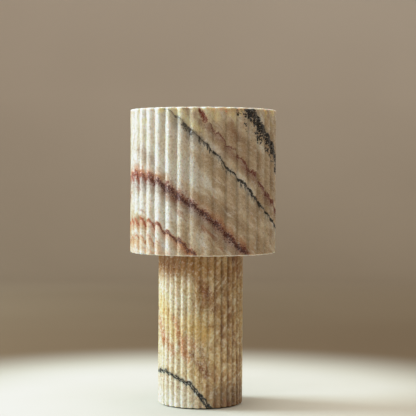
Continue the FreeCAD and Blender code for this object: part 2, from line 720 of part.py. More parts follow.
keep(cut("block", block, fuse("block_voids", voids), "terminal_block"))
keep(group("pinch_set", pinches, "terminal_screws"))
fix_head = cylinder("fix_head", "dims.fixing_head", "2",
                    z=FLOOR + " + dims.block_tall - 3.2")
fix_shank = cylinder("fix_shank", "dims.fixing_rad", "dims.block_tall - 1.2",
                     z=FLOOR + " - 2")
fix_slot = box("fix_slot", "6.4", "0.8", "1", "-3.2", "-0.4",
               FLOOR + " + dims.block_tall - 2")
keep(cut("fix_screw", fuse("fix_body", [fix_head, fix_shank]), fix_slot,
         "block_fixing_screw"))

# ------------------------------------------------------------------ lampholder
holder_cap = keep(turned("holder_cap", "lampholder_cap", [
    ("dims.rod_rad + 0.04", 0), ("dims.cap_neck_rad", 0), ("dims.cap_neck_rad", "6"),
    ("dims.cap_rad", "13"), ("dims.cap_rad", "dims.cap_tall"),
    ("dims.cap_rad - dims.cap_wall", "dims.cap_tall"),
    ("dims.cap_rad - dims.cap_wall", "13.5"), ("7.4", "6.9"),
    ("dims.rod_rad + 0.04", "6.9")], z="dims.holder_low"))
# a grub screw through the neck stops the lampholder turning on the rod
grub_hole = cylinder("grub_hole", "1.5", "6", y="-dims.rod_rad + 0.5",
                     z="dims.holder_low + 3", turn=LAY_FRONT)
NODES.remove(holder_cap)
holder_cap.Label = "lampholder_cap_turning"
keep(cut("holder_cap_drilled", holder_cap, grub_hole, "lampholder_cap"))
grub = cylinder("grub_body", "1.46", "4.2", y="-dims.rod_rad - 0.02",
                z="dims.holder_low + 3", turn=LAY_FRONT)
grub_slot = box("grub_slot", "0.6", "1.2", "4", "-0.3", "-dims.rod_rad - 4.6",
                "dims.holder_low + 1")
keep(cut("grub", grub, grub_slot, "lampholder_grub_screw"))


def switch_hole(name, rad):
    return cylinder(name, rad, "8", y="-dims.shell_rad + 4.5", z="dims.shaft_high",
                    turn=LAY_FRONT)


def tube(name, rad, wall, low, high):
    return cut(name, cylinder(name + "_outside", rad, "(%s) - (%s)" % (high, low), z=low),
               cylinder(name + "_inside", "(%s) - (%s)" % (rad, wall),
                        "(%s) - (%s) + 2" % (high, low), z="(%s) - 1" % low))


shell = keep(cut("holder_shell", tube("shell_tube", "dims.shell_rad", "dims.shell_wall",
                                      "dims.shell_low", "dims.shell_high"),
                 switch_hole("shell_hole", "dims.shaft_rad + 0.9"), "lampholder_shell"))
liner = keep(cut("holder_liner", tube("liner_tube", "dims.liner_rad", "dims.liner_wall",
                                      "dims.shell_low", "dims.liner_high"),
                 switch_hole("liner_hole", "dims.shaft_rad + 0.9"), "lampholder_liner"))
core_void = [
    cylinder("core_bore", "dims.shaft_rad + 0.05", "dims.core_rad - 5 + 2",
             y="-5", z="dims.shaft_high", turn=LAY_FRONT)]
terminal_heads = []
for i, sx in enumerate((-1, 1)):
    core_void.append(box("core_side_%d" % i, "20", "10.4",
                         "dims.core_high - 2 - dims.core_low + 1",
                         "dims.core_flat" if sx > 0 else "-dims.core_flat - 20", "-5.2",
                         "dims.core_low - 1"))
    stem = cylinder("side_screw_stem_%d" % i, "1.4", "3",
                    "dims.core_flat - 2.4" if sx > 0 else "-dims.core_flat - 0.6",
                    "0", "dims.core_high - 6.2", turn=LAY_RIGHT)
    head = cylinder("side_screw_head_%d" % i, "2.9", "1.6",
                    "dims.core_flat + 0.6" if sx > 0 else "-dims.core_flat - 2.2",
                    "0", "dims.core_high - 6.2", turn=LAY_RIGHT)
    slot = box("side_screw_slot_%d" % i, "0.8", "7", "0.7",
               "dims.core_flat + 1.5" if sx > 0 else "-dims.core_flat - 2.3", "-3.5",
               "dims.core_high - 6.55")
    core_void.append(cylinder("side_screw_hole_%d" % i, "1.44", "4",
                              "dims.core_flat - 3" if sx > 0 else "-dims.core_flat - 1",
                              "0", "dims.core_high - 6.2", turn=LAY_RIGHT))
    terminal_heads.append(cut("side_screw_%d" % i,
                              fuse("side_screw_body_%d" % i, [stem, head]), slot))
keep(cut("core", cylinder("core_round", "dims.core_rad",
                          "dims.core_high - dims.core_low", z="dims.core_low"),
         fuse("core_voids", core_void), "lampholder_core"))
keep(group("side_screw_set", terminal_heads, "lampholder_terminals"))
thread = tube("thread_tube", "dims.thread_rad", "dims.thread_rad - dims.thread_bore",
              "dims.thread_low", "dims.thread_high")
thread.Label = "lampholder_screw_shell"
keep(thread)
keep(fuse("contact", [
    cylinder("contact_foot", "4.2", "0.8", z="dims.core_high"),
    cone("contact_button", "3", "2.2", "dims.bulb_tip - dims.core_high - 1.1",
         z="dims.core_high + 0.8")], "lampholder_contact"))

# ------------------------------------------------------------------ turn switch
shaft = keep(cylinder("shaft", "dims.shaft_rad", "dims.shaft_end - 5.3", y="-5.3",
                      z="dims.shaft_high", turn=LAY_FRONT))
shaft.Label = "switch_shaft"
knob = keep(new_body("knob", "switch_knob"))
circle_pad(knob, "knob_barrel", "dims.knob_rad", "0", "dims.knob_long")
groove = circle_pocket(knob, "knob_groove", "dims.knob_groove_rad", "1.5",
                       "dims.knob_long", x="dims.knob_rad + 0.3")
doc.recompute()
grooves = knob.newObject("PartDesign::PolarPattern", "knob_grooves_round")
grooves.Originals = [groove]
grooves.Axis = (doc.getObject("knob_groove_outline"), ["N_Axis"])
grooves.Angle = 360.0
grooves.setExpression("Occurrences", "dims.knob_grooves")
knob.Tip = grooves
doc.recompute()
kbore = circle_pocket(knob, "knob_bore", "dims.shaft_rad", "0",
                      "dims.shaft_end - dims.knob_near")
doc.recompute()
far = float(evaluate("dims.knob_long"))
dress(knob, "Fillet", "knob_front_edge", kbore,
      edges_at(kbore.Shape, far, 5, 8), "0.6")
knob.Placement = Placement(Vector(0, 0, 0), LAY_FRONT)
place(knob, None, "-dims.knob_near", "dims.shaft_high")

# ------------------------------------------------------------------------ bulb
screw_cap = keep(turned("bulb_screw", "bulb_screw_cap", [
    ("dims.bulb_cap_rad - 1.6", 0), ("dims.bulb_cap_rad", "1.6"),
    ("dims.bulb_cap_rad", "dims.cap_end - dims.cap_start"),
    ("dims.bulb_cap_rad - 0.5", "dims.cap_end - dims.cap_start"),
    ("dims.bulb_cap_rad - 0.5", "2"), ("dims.bulb_cap_rad - 2", "0.5"),
    ("dims.bulb_cap_rad - 2", 0)], z="dims.cap_start"))
insulator = keep(turned("bulb_insulator", "bulb_cap_insulator", [
    (0, 0), ("5.4", 0), ("dims.bulb_cap_rad - 2.05", "dims.cap_start - dims.bulb_tip - 1.2"),
    ("dims.bulb_cap_rad - 2.05", "dims.cap_start - dims.bulb_tip + 1.2"),
    (0, "dims.cap_start - dims.bulb_tip + 1.2")], z="dims.bulb_tip + 1.2"))
tip = keep(turned("bulb_tip_button", "bulb_tip_contact", [
    (0, 0), ("3.2", 0), ("4.4", "0.7"), ("4.4", "1.2"), (0, "1.2")], z="dims.bulb_tip"))
collar = keep(turned("bulb_neck", "bulb_collar", [
    ("dims.bulb_cap_rad - 2.6", 0), ("dims.bulb_cap_rad - 0.55", 0),
    ("dims.bulb_cap_rad - 0.55", "dims.cap_end - 296"),
    ("dims.bulb_cap_rad + 0.4", "dims.cap_end - 296"),
    ("dims.bulb_cap_rad + 1.6", "dims.cap_end - 296 + 5"),
    ("dims.collar_rad - 3.4", "dims.collar_high - 296 - 9"),
    ("dims.collar_rad", "dims.collar_high - 296 - 1.5"),
    ("dims.collar_rad", "dims.collar_high - 296"),
    ("dims.board_rad - 1.5", "dims.collar_high - 296"),
    ("dims.board_rad - 1.5", "dims.collar_high - 296 - 2"),
    ("dims.board_rad - 4.2", "dims.collar_high - 296 - 8"),
    ("dims.bulb_cap_rad - 0.8", "dims.cap_end - 296 + 4"),
    ("dims.bulb_cap_rad - 2.6", "dims.cap_end - 296")], z="296"))
globe_ball = doc.addObject("Part::Sphere", "globe_ball")
bind(globe_ball, "Radius", "dims.globe_rad")
bind(globe_ball, "Angle1", "-asin(0.6)")
place(globe_ball, z="dims.collar_high + 0.6 * dims.globe_rad")
globe_hollow = doc.addObject("Part::Sphere", "globe_hollow")
bind(globe_hollow, "Radius", "dims.globe_rad - dims.globe_wall")
place(globe_hollow, z="dims.collar_high + 0.6 * dims.globe_rad")
keep(cut("globe", globe_ball, globe_hollow, "bulb_globe"))
board = keep(cylinder("board", "dims.board_rad", "dims.board_thick",
                      z="dims.collar_high"))
board.Label = "bulb_led_board"
chips = []
for i in range(int(val("chip_count"))):
    ang = "(%d * 360 deg / dims.chip_count)" % i
    chips.append(box("chip_%d" % i, "2.8", "2.8", "0.8",
                     "dims.chip_circle * cos(%s) - 1.4" % ang,
                     "dims.chip_circle * sin(%s) - 1.4" % ang,
                     "dims.collar_high + dims.board_thick"))
keep(group("chip_set", chips, "bulb_leds"))

# ----------------------------------------------------------------------- leads
doc.recompute()
up = val("core_low")
for sx, name, label in ((-1, "lead_neutral", "neutral_lead"), (1, "lead_live", "live_lead")):
    route = [
        (sx * 4.5, -2.0, val("entry_high")),
        (sx * 4.5, -11.5, val("entry_high")),
        (sx * 4.1, -15.2, val("entry_high") + 8.5),
        (sx * 2.9, -8.2, val("rod_low") - 9.5),
        (sx * 1.75, 0.0, val("rod_low") - 3.0),
        (sx * 1.75, 0.0, up - 9.0),
        (sx * (val("core_flat") + 2.9), 0.0, up - 0.5),
        (sx * (val("core_flat") + 2.9), 0.0, up + 7.8),
    ]
    keep(lead(name, label, route, val("lead_rad")))

# ------------------------------------------------------------ test and write
doc.recompute()
for obj in doc.Objects:
    state = getattr(obj, "State", [])
    if "Invalid" in state or "Error" in state:
        raise RuntimeError("failed: %s %s" % (obj.Name, state))
labels = [obj.Label for obj in NODES]
if len(set(labels)) != len(labels):
    raise RuntimeError("two nodes share a name")
for obj in NODES:
    shape = obj.Shape
    if shape.isNull() or not shape.isValid() or not shape.Solids:
        raise RuntimeError("bad shape: " + obj.Label)
for obj in NODES:
    obj.Shape.exportStep("parts/%s.step" % obj.Label)
    b = obj.Shape.BoundBox
    print("%-24s solids %2d  vol %10.1f  x %.1f..%.1f y %.1f..%.1f z %.1f..%.1f" % (
        obj.Label, len(obj.Shape.Solids), obj.Shape.Volume,
        b.XMin, b.XMax, b.YMin, b.YMax, b.ZMin, b.ZMax))
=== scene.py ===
import json
import math
import bpy
import bmesh
import numpy as np
from mathutils import Matrix, Vector


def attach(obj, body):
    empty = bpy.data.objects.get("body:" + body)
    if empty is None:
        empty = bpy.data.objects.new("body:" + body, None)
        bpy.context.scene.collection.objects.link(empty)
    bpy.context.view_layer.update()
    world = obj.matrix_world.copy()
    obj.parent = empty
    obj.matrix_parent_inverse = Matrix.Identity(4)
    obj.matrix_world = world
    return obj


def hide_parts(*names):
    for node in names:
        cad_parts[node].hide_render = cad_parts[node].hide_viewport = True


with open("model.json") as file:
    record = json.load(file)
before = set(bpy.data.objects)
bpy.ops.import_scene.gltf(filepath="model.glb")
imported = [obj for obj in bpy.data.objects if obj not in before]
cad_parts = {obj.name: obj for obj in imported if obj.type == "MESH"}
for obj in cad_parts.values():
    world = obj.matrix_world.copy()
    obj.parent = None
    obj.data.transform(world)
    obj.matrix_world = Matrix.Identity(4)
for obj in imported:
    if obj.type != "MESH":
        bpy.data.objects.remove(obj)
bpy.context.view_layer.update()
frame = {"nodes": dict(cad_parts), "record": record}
NODES = frame["nodes"]
MM = 0.001

# ---------------------------------------------------------------- camera
# 416 x 416 picture, 1.83 m from the lamp's axis, 0.32 m above the table.
cam_data = bpy.data.cameras.new("camera")
cam_data.sensor_width = 36.0
cam_data.lens = 36.0 * 1313.3 / 416.0
cam_data.clip_start, cam_data.clip_end = 0.05, 30.0
camera = bpy.data.objects.new("camera", cam_data)
bpy.context.scene.collection.objects.link(camera)
pan, tilt, roll = math.radians(0.31), math.radians(1.5), math.radians(0.219)
ahead = Vector((math.sin(pan) * math.cos(tilt), math.cos(pan) * math.cos(tilt), -math.sin(tilt)))
right = ahead.cross(Vector((0, 0, 1))).normalized()
up = right.cross(ahead)
cr, sr = math.cos(roll), math.sin(roll)
right_r = right * cr + up * sr
up_r = up * cr - right * sr
camera.matrix_world = Matrix((
    (right_r.x, up_r.x, -ahead.x, 0.0),
    (right_r.y, up_r.y, -ahead.y, -1.831),
    (right_r.z, up_r.z, -ahead.z, 0.320),
    (0, 0, 0, 1)))
bpy.context.scene.camera = camera


# ------------------------------------------------------------- node helpers
def srgb(r, g, b):
    def one(c):
        c = c / 255.0
        return c / 12.92 if c <= 0.04045 else ((c + 0.055) / 1.055) ** 2.4
    return (one(r), one(g), one(b), 1.0)


class Graph:
    """Small helper that wires shader nodes together."""

    def __init__(self, name):
        self.mat = bpy.data.materials.new(name)
        self.mat.use_nodes = True
        self.tree = self.mat.node_tree
        self.tree.nodes.clear()
        self.out = self.tree.nodes.new("ShaderNodeOutputMaterial")
        self.bsdf = self.tree.nodes.new("ShaderNodeBsdfPrincipled")
        self.tree.links.new(self.bsdf.outputs[0], self.out.inputs["Surface"])
        tc = self.tree.nodes.new("ShaderNodeTexCoord")
        self.object = tc.outputs["Object"]

    def new(self, kind):
        return self.tree.nodes.new(kind)

    def put(self, socket, value):
        if isinstance(value, bpy.types.NodeSocket):
            self.tree.links.new(value, socket)
        elif value is not None:
            socket.default_value = value

    def set(self, name, value):
        self.put(self.bsdf.inputs[name], value)

    def math(self, op, a, b=None, c=None, clamp=False):
        n = self.new("ShaderNodeMath")
        n.operation = op
        n.use_clamp = clamp
        self.put(n.inputs[0], a)
        self.put(n.inputs[1], b)
        if c is not None:
            self.put(n.inputs[2], c)
        return n.outputs[0]

    def add(self, a, b):
        return self.math("ADD", a, b)

    def sub(self, a, b):
        return self.math("SUBTRACT", a, b)

    def mul(self, a, b):
        return self.math("MULTIPLY", a, b)

    def vmath(self, op, a, b=None, scale=None):
        n = self.new("ShaderNodeVectorMath")
        n.operation = op
        self.put(n.inputs[0], a)
        if b is not None:
            self.put(n.inputs[1], b)
        if scale is not None:
            self.put(n.inputs["Scale"], scale)
        return n.outputs["Value"] if op in ("DOT_PRODUCT", "LENGTH", "DISTANCE") else n.outputs[0]

    def split(self, v):
        n = self.new("ShaderNodeSeparateXYZ")
        self.put(n.inputs[0], v)
        return n.outputs[0], n.outputs[1], n.outputs[2]

    def join(self, x, y, z):
        n = self.new("ShaderNodeCombineXYZ")
        self.put(n.inputs[0], x)
        self.put(n.inputs[1], y)
        self.put(n.inputs[2], z)
        return n.outputs[0]

    def mapping(self, v, loc=(0, 0, 0), rot=(0, 0, 0), scale=(1, 1, 1)):
        n = self.new("ShaderNodeMapping")
        self.put(n.inputs["Vector"], v)
        n.inputs["Location"].default_value = loc
        n.inputs["Rotation"].default_value = rot
        n.inputs["Scale"].default_value = scale
        return n.outputs[0]

    def slant(self, v, rot, long):
        """Turns v first and then draws it out along the turned Z."""
        return self.mapping(self.mapping(v, rot=rot), scale=(1.0, 1.0, long))

    def noise(self, v, scale, detail=3.0, rough=0.5, distort=0.0, colour=False):
        n = self.new("ShaderNodeTexNoise")
        self.put(n.inputs["Vector"], v)
        n.inputs["Scale"].default_value = scale
        n.inputs["Detail"].default_value = detail
        n.inputs["Roughness"].default_value = rough
        n.inputs["Distortion"].default_value = distort
        return n.outputs["Color"] if colour else n.outputs["Fac"]

    def voronoi(self, v, scale, feature="F1", out="Distance", rand=1.0):
        n = self.new("ShaderNodeTexVoronoi")
        n.feature = feature
        self.put(n.inputs["Vector"], v)
        n.inputs["Scale"].default_value = scale
        n.inputs["Randomness"].default_value = rand
        return n.outputs[out]

    def span(self, v, a, b, lo=0.0, hi=1.0, smooth=True):
        """Maps v from a..b to lo..hi, held at the ends."""
        n = self.new("ShaderNodeMapRange")
        n.interpolation_type = "SMOOTHSTEP" if smooth else "LINEAR"
        n.clamp = True
        self.put(n.inputs["Value"], v)
        self.put(n.inputs["From Min"], a)
        self.put(n.inputs["From Max"], b)
        self.put(n.inputs["To Min"], lo)
        self.put(n.inputs["To Max"], hi)
        return n.outputs["Result"]

    def ramp(self, v, stops):
        n = self.new("ShaderNodeValToRGB")
        self.put(n.inputs[0], v)
        els = n.color_ramp.elements
        while len(els) < len(stops):
            els.new(0.5)
        for e, (p, c) in zip(els, stops):
            e.position = p
            e.color = c
        return n.outputs[0]

    def mix(self, fac, a, b, mode="MIX"):
        n = self.new("ShaderNodeMix")
        n.data_type = "RGBA"
        n.blend_type = mode
        n.clamp_factor = True
        self.put(n.inputs[0], fac)
        self.put(n.inputs[6], a)
        self.put(n.inputs[7], b)
        return n.outputs[2]

    def bump(self, height, strength, distance, normal=None):
        n = self.new("ShaderNodeBump")
        n.inputs["Strength"].default_value = strength
        n.inputs["Distance"].default_value = distance
        self.put(n.inputs["Height"], height)
        if normal is not None:
            self.put(n.inputs["Normal"], normal)
        return n.outputs[0]


# ---------------------------------------------------------------- the stone
# Lengths in the stone's graphs are millimetres in the lamp's frame. Veins are sheets
# z = z0 + a x + b y that run right through the block, so they meet on every side.
HALF = (0.5, 0.5, 0.5)


def stone(name, body, tone):
    """Veined onyx marble: a body colour from body(), sugary crystal grain and a honed gloss."""
    g = Graph(name)
    p = g.vmath("SCALE", g.object, scale=1000.0)
    slow = g.vmath("SUBTRACT", g.noise(p, 0.020, 2.0, 0.5, colour=True), HALF)
    quick = g.vmath("SUBTRACT", g.noise(p, 0.11, 3.0, 0.6, colour=True), HALF)
    pw = g.vmath("ADD", p, g.vmath("SCALE", slow, scale=tone["warp"]))
    pw = g.vmath("ADD", pw, g.vmath("SCALE", quick, scale=tone["warp2"]))
    base = body(g, p, pw)
    amount = g.span(g.split(p)[0], -45.0, 45.0, tone["grain"][0], tone["grain"][1])

    # crystals: colour first
    coarse = g.noise(p, tone["coarse"], 2.0, 0.6)
    fine = g.noise(g.mapping(p, loc=(37.0, 11.0, 5.0)), 0.95, 1.0, 0.5)
    grain = g.add(g.mul(coarse, 0.68), g.mul(fine, 0.32))
    grain = g.span(grain, 0.36, 0.64, 0.0, 1.0, smooth=False)
    tint = g.ramp(grain, [(0.0, tone["g0"]), (0.42, tone["g1"]), (0.75, (1, 1, 1, 1))])
    base = g.mix(amount, base, tint, "MULTIPLY")
    # white flecks screened over the colour, fewer on the right: partly the stone's white grains,
    # partly a painted glint
    white_grain_and_glint = g.mul(g.span(grain, 0.66, 1.0, 0.0, tone["sparkle"]),
                  g.span(g.split(p)[0], -20.0, 30.0, 1.0, tone["glint_and_fleck_right"]))
    base = g.mix(white_grain_and_glint, base, (1.0, 0.985, 0.94, 1.0), "SCREEN")
    g.set("Base Color", base)
    # then gloss and relief
    g.set("Roughness", g.span(fine, 0.35, 0.65, tone["rough"][0], tone["rough"][1]))
    g.set("IOR", 1.52)
    g.set("Specular IOR Level", 0.75)
    g.set("Subsurface Weight", 1.0)
    g.set("Subsurface Radius", tone["sss"])
    g.set("Subsurface Scale", tone["sss_scale"])
    cell = g.split(g.voronoi(p, 0.75, out="Color"))[0]
    n1 = g.bump(g.add(g.mul(cell, 0.5), fine), 0.55, 0.00040)
    n2 = g.bump(coarse, 0.6, tone["relief"], n1)
    if tone.get("strokes"):
        t1 = g.noise(g.slant(p, (0.0, 0.85, 0.0), 0.20), 0.40, 2.0, 0.55)
        t2 = g.noise(g.slant(p, (0.0, -0.80, 0.0), 0.20), 0.40, 2.0, 0.55)
        n2 = g.bump(g.add(t1, t2), 0.7, tone["strokes"], n2)
    g.set("Normal", g.bump(g.noise(p, 0.07, 2.0, 0.5), 0.5, 0.0010, n2))
    return g.mat


def sheet(g, x, y, z, z0, a, b):
    """Height above a sheet z = z0 + a x + b y that runs through the block."""
    plane = g.add(g.mul(x, -a), g.mul(y, -b))
    return g.sub(g.add(plane, z), z0)


def band(g, d, low, low_full, high_full, high):
    """1 between low_full and high_full, fading to 0 at low and high."""
    return g.mul(g.span(d, low, low_full), g.span(d, high, high_full))


def speckle(g, density, grit, soft=0.08):
    """Scattered grains: none where density is 0, closed where it is 1."""
    return g.span(g.add(grit, density), 1.0 - soft, 1.0 + soft)


def streak(g, p, a, b, r, rag):
    """A soft-edged patch round the line from a to b, made ragged by the noise rag."""
    ab = Vector(b) - Vector(a)
    ap = g.vmath("SUBTRACT", p, tuple(a))
    t = g.math("DIVIDE", g.vmath("DOT_PRODUCT", ap, tuple(ab)), ab.length_squared, clamp=True)
    gap = g.vmath("LENGTH", g.vmath("SUBTRACT", ap, g.vmath("SCALE", tuple(ab), scale=t)))
    return g.span(g.add(gap, g.mul(rag, r * 1.5)), r * 1.15, r * 0.25)


def drum_body(g, p, pw):
    x, y, z = g.split(pw)
    px, py, z0 = g.split(p)
    lift = g.span(g.vmath("LENGTH", g.join(g.sub(px, 3.0), py, 0.0)), 96.0, 102.0, -3.0, 3.0,
                  smooth=False)
    fold = g.span(y, 5.0, -40.0, 0.25, 1.0)
    rag = g.sub(g.noise(p, 0.28, 4.0, 0.7), 0.5)
    grit = g.span(g.noise(p, 0.46, 2.0, 0.7), 0.30, 0.70, smooth=False)
    dust = g.span(g.noise(p, 0.80, 2.0, 0.7), 0.30, 0.70, smooth=False)
    slow = g.noise(p, 0.045, 2.0, 0.5)
    kink = g.sub(g.noise(p, 0.075, 2.0, 0.6), 0.5)
    # the block's own bedding, along the main veins
    un = g.vmath("DOT_PRODUCT", pw, (0.647, 0.252, 0.719))
    ut = g.vmath("DOT_PRODUCT", pw, (0.743, 0.0, -0.669))
    us = g.vmath("DOT_PRODUCT", pw, (-0.168, 0.968, -0.187))
    bed = g.join(un, g.mul(ut, 0.30), g.mul(us, 0.30))
    layer = g.noise(bed, 0.050, 5.0, 0.62)
    thin = g.noise(bed, 0.19, 4.0, 0.65)
    # darker and browner towards the right front and lower down the middle: partly the stone's tan,
    # partly painted shade on the side away from the key light
    front = g.span(y, 10.0, -35.0)
    low = g.mul(g.span(x, -62.0, 0.0), g.span(x, 95.0, 50.0, 0.35, 1.0))
    tan_and_painted_shade = g.add(g.span(x, -50.0, 52.0, -0.055, 0.084),
                 g.mul(low, g.span(z, 350.0, 250.0, 0.0, 0.072)))
    tan_and_painted_shade = g.add(g.mul(tan_and_painted_shade, front), g.mul(g.sub(1.0, front), 0.012))
    v = g.add(g.add(layer, tan_and_painted_shade), g.mul(g.sub(g.noise(pw, 0.016, 3.0, 0.5), 0.5), 0.25))
    base = g.ramp(v, [(0.30, srgb(251, 250, 246)), (0.45, srgb(248, 245, 237)),
                      (0.54, srgb(232, 219, 196)), (0.64, srgb(208, 187, 158)),
                      (0.78, srgb(186, 163, 136))])
    base = g.mix(g.mul(g.span(thin, 0.54, 0.72, 0.0, 0.55), g.span(x, -80.0, 10.0, 0.3, 1.0)),
                 base, srgb(204, 172, 138))
    base = g.mix(g.span(thin, 0.46, 0.32, 0.0, 0.50), base, srgb(252, 250, 246))

    # a whiter band along the bedding on the left: partly a clear layer of the stone, partly painted
    # glow of light through it
    clear = g.mul(band(g, un, 176.0, 196.0, 224.0, 240.0), g.span(x, 10.0, -40.0))
    base = g.mix(g.mul(clear, 0.60), base, srgb(252, 249, 240))

    # darker on the back left, the side that faces the key light: painted shade that holds down that
    # side's glare
    keyside_painted_shade = g.mul(g.sub(1.0, g.span(y, 5.0, -45.0)), g.span(x, 10.0, -40.0))
    base = g.mix(keyside_painted_shade, base, srgb(228, 219, 200), "MULTIPLY")
    # pale and orange-yellow patches under the rim: partly the stone's own colour, partly painted glow
    # of light through the thin rim
    glow = g.math("MAXIMUM", streak(g, p, (-34, -93, 408), (-4, -98, 386), 16.0, rag),
                  g.mul(g.span(z, 376.0, 404.0),
                        g.span(g.noise(p, 0.05, 2.0, 0.5), 0.54, 0.64)))
    base = g.mix(g.mul(glow, 0.86), base, srgb(254, 244, 200))
    base = g.mix(g.mul(streak(g, p, (10, -99, 407), (20, -97, 396), 9.0, rag), 0.86), base,
                 srgb(255, 245, 202))
    base = g.mix(g.mul(streak(g, p, (19, -98, 408), (52, -88, 404), 9.0, rag), 0.45), base,
                 srgb(232, 194, 122))
    base = g.mix(g.mul(streak(g, p, (-38, -93, 401), (4, -99, 394), 16.0, rag), 0.74), base,
                 srgb(254, 247, 222))
    # brown clouds high on the right and low at the left
    for a, b, r, k in (((38, -92, 383), (46, -89, 366), 9.0, 0.60),
                       ((26, -96, 360), (31, -95, 342), 7.0, 0.40),
                       ((-84, -50, 352), (-70, -70, 338), 13.0, 0.45),
                       ((55, -84, 350), (62, -79, 330), 9.0, 0.35)):
        base = g.mix(g.mul(streak(g, p, a, b, r, rag), k), base, srgb(172, 132, 98))

    # E: a red stain at the rim that runs out in a faint thread with a mauve underside
    d = g.add(sheet(g, x, y, z, 362.0, -0.960, -0.339), g.add(g.mul(rag, 11.0), g.mul(kink, 14.0)))
    d = g.sub(d, g.mul(lift, 0.25))
    under = g.mul(band(g, d, -20.0, -5.0, -1.0, 1.5), g.span(slow, 0.40, 0.56))
    base = g.mix(g.mul(under, 0.62), base, srgb(160, 116, 102))
    near = g.math("DIVIDE", g.math("ABSOLUTE", d), g.span(x, 50.0, 84.0, 1.0, 2.6))
    line = g.mul(g.span(near, 2.8, 0.5), g.span(slow, 0.34, 0.50, 0.44, 0.90))
    line = speckle(g, g.mul(line, g.span(x, 4.0, 16.0)), dust)
    base = g.mix(g.mul(line, g.span(x, 30.0, 80.0, 0.80, 0.92)), base, srgb(128, 60, 50))
    stain = g.math("MAXIMUM", streak(g, p, (-5, -98, 411), (0, -98, 398), 2.7, rag),
                   streak(g, p, (1, -98, 399), (6, -98, 390), 5.4, rag))
    base = g.mix(g.mul(stain, 0.70), base, srgb(206, 136, 96))
    base = g.mix(g.mul(speckle(g, g.mul(stain, 0.80), dust), 0.92), base, srgb(136, 46, 34))

    # A: slate thread with a grey shade below it, frayed towards the right
    d = g.add(sheet(g, x, y, z, 340.5, -0.973, -0.248), g.add(g.mul(rag, 8.0), g.mul(kink, 9.0)))
    d = g.sub(d, g.mul(lift, 0.15))
    near = g.math("ABSOLUTE", d)
    rise = g.span(z, 376.0, 402.0, 1.0, 0.35)
    base = g.mix(g.mul(g.mul(g.span(near, 5.5, 0.5), g.span(x, 60.0, 10.0, 0.25, 0.60)), rise),
                 base, srgb(126, 120, 112))
    shade = g.mul(band(g, d, -22.0, -3.0, 0.0, 2.0), g.span(x, 25.0, -25.0, 0.28, 0.70))
    shade = g.mul(shade, rise)
    base = g.mix(g.mul(shade, g.span(slow, 0.36, 0.56, 0.4, 1.0)), base, srgb(136, 132, 126))
    beads = g.noise(g.mapping(p, loc=(9.0, 2.0, 4.0)), 0.085, 2.0, 0.6)
    thick = g.add(g.span(beads, 0.42, 0.60, 0.6, 1.8), g.span(x, 30.0, 70.0, 0.0, 1.6))
    thick = g.mul(thick, g.span(x, -60.0, -25.0, 0.62, 1.0))
    core = g.span(g.math("DIVIDE", near, thick), 1.5, 0.5)
    both = g.add(g.mul(grit, 0.5), g.mul(dust, 0.5))
    line = speckle(g, g.mul(core, g.span(x, -45.0, 40.0, 0.68, 0.80)), both)
    base = g.mix(g.mul(line, g.span(x, -10.0, 45.0, 0.72, 0.97)), base, srgb(24, 29, 34))
    hairs = g.noise(g.join(g.mul(x, 0.8), g.mul(y, 0.8), g.mul(z, 0.14)), 0.55, 1.0, 0.5)
    hairs = g.mul(g.span(hairs, 0.53, 0.59), band(g, d, -11.0, -4.0, 0.5, 2.5))
    base = g.mix(g.mul(hairs, g.mul(g.span(x, -25.0, 5.0), g.span(x, 90.0, 50.0, 0.5, 0.92))), base,
                 srgb(44, 46, 50))
    blot = streak(g, p, (-24, -96, 385), (-14, -98, 373), 4.5, rag)
    base = g.mix(g.mul(speckle(g, g.mul(blot, 0.75), dust), 0.88), base, srgb(42, 48, 56))

    # B: a broad seam of blue-black grains, closed along its upper edge and loose below it
    d = g.add(sheet(g, x, y, z, 498.0, -1.480, -0.215), g.add(g.mul(rag, 12.0), g.mul(kink, 10.0)))
    d = g.sub(d, g.mul(lift, 0.3))
    d = g.mul(d, g.span(x, 66.0, 96.0, 0.82, 1.40))
    lobes = g.span(g.noise(g.mapping(p, loc=(5.0, 1.0, 8.0)), 0.060, 2.0, 0.5), 0.40, 0.60)
    wide = g.mapping(p, scale=(1.0, 0.42, 1.0))
    base = g.mix(g.mul(band(g, d, -46.0, -22.0, -2.0, 6.0), 0.30), base, srgb(160, 148, 132))
    closed = g.mul(band(g, d, -27.0, -17.0, -3.0, 1.5), 0.86)
    loose = g.mul(band(g, d, -44.0, -34.0, -16.0, -9.0), g.span(lobes, 0.0, 1.0, 0.25, 0.72))
    grains = g.add(g.mul(g.span(g.voronoi(wide, 0.44), 0.72, 0.12, smooth=False), 0.62),
                   g.mul(g.span(g.noise(wide, 0.42, 2.0, 0.7), 0.30, 0.70, smooth=False), 0.38))
    grains = speckle(g, g.math("MAXIMUM", closed, loose), grains, 0.04)
    base = g.mix(g.mul(grains, 0.98), base, srgb(4, 15, 30))

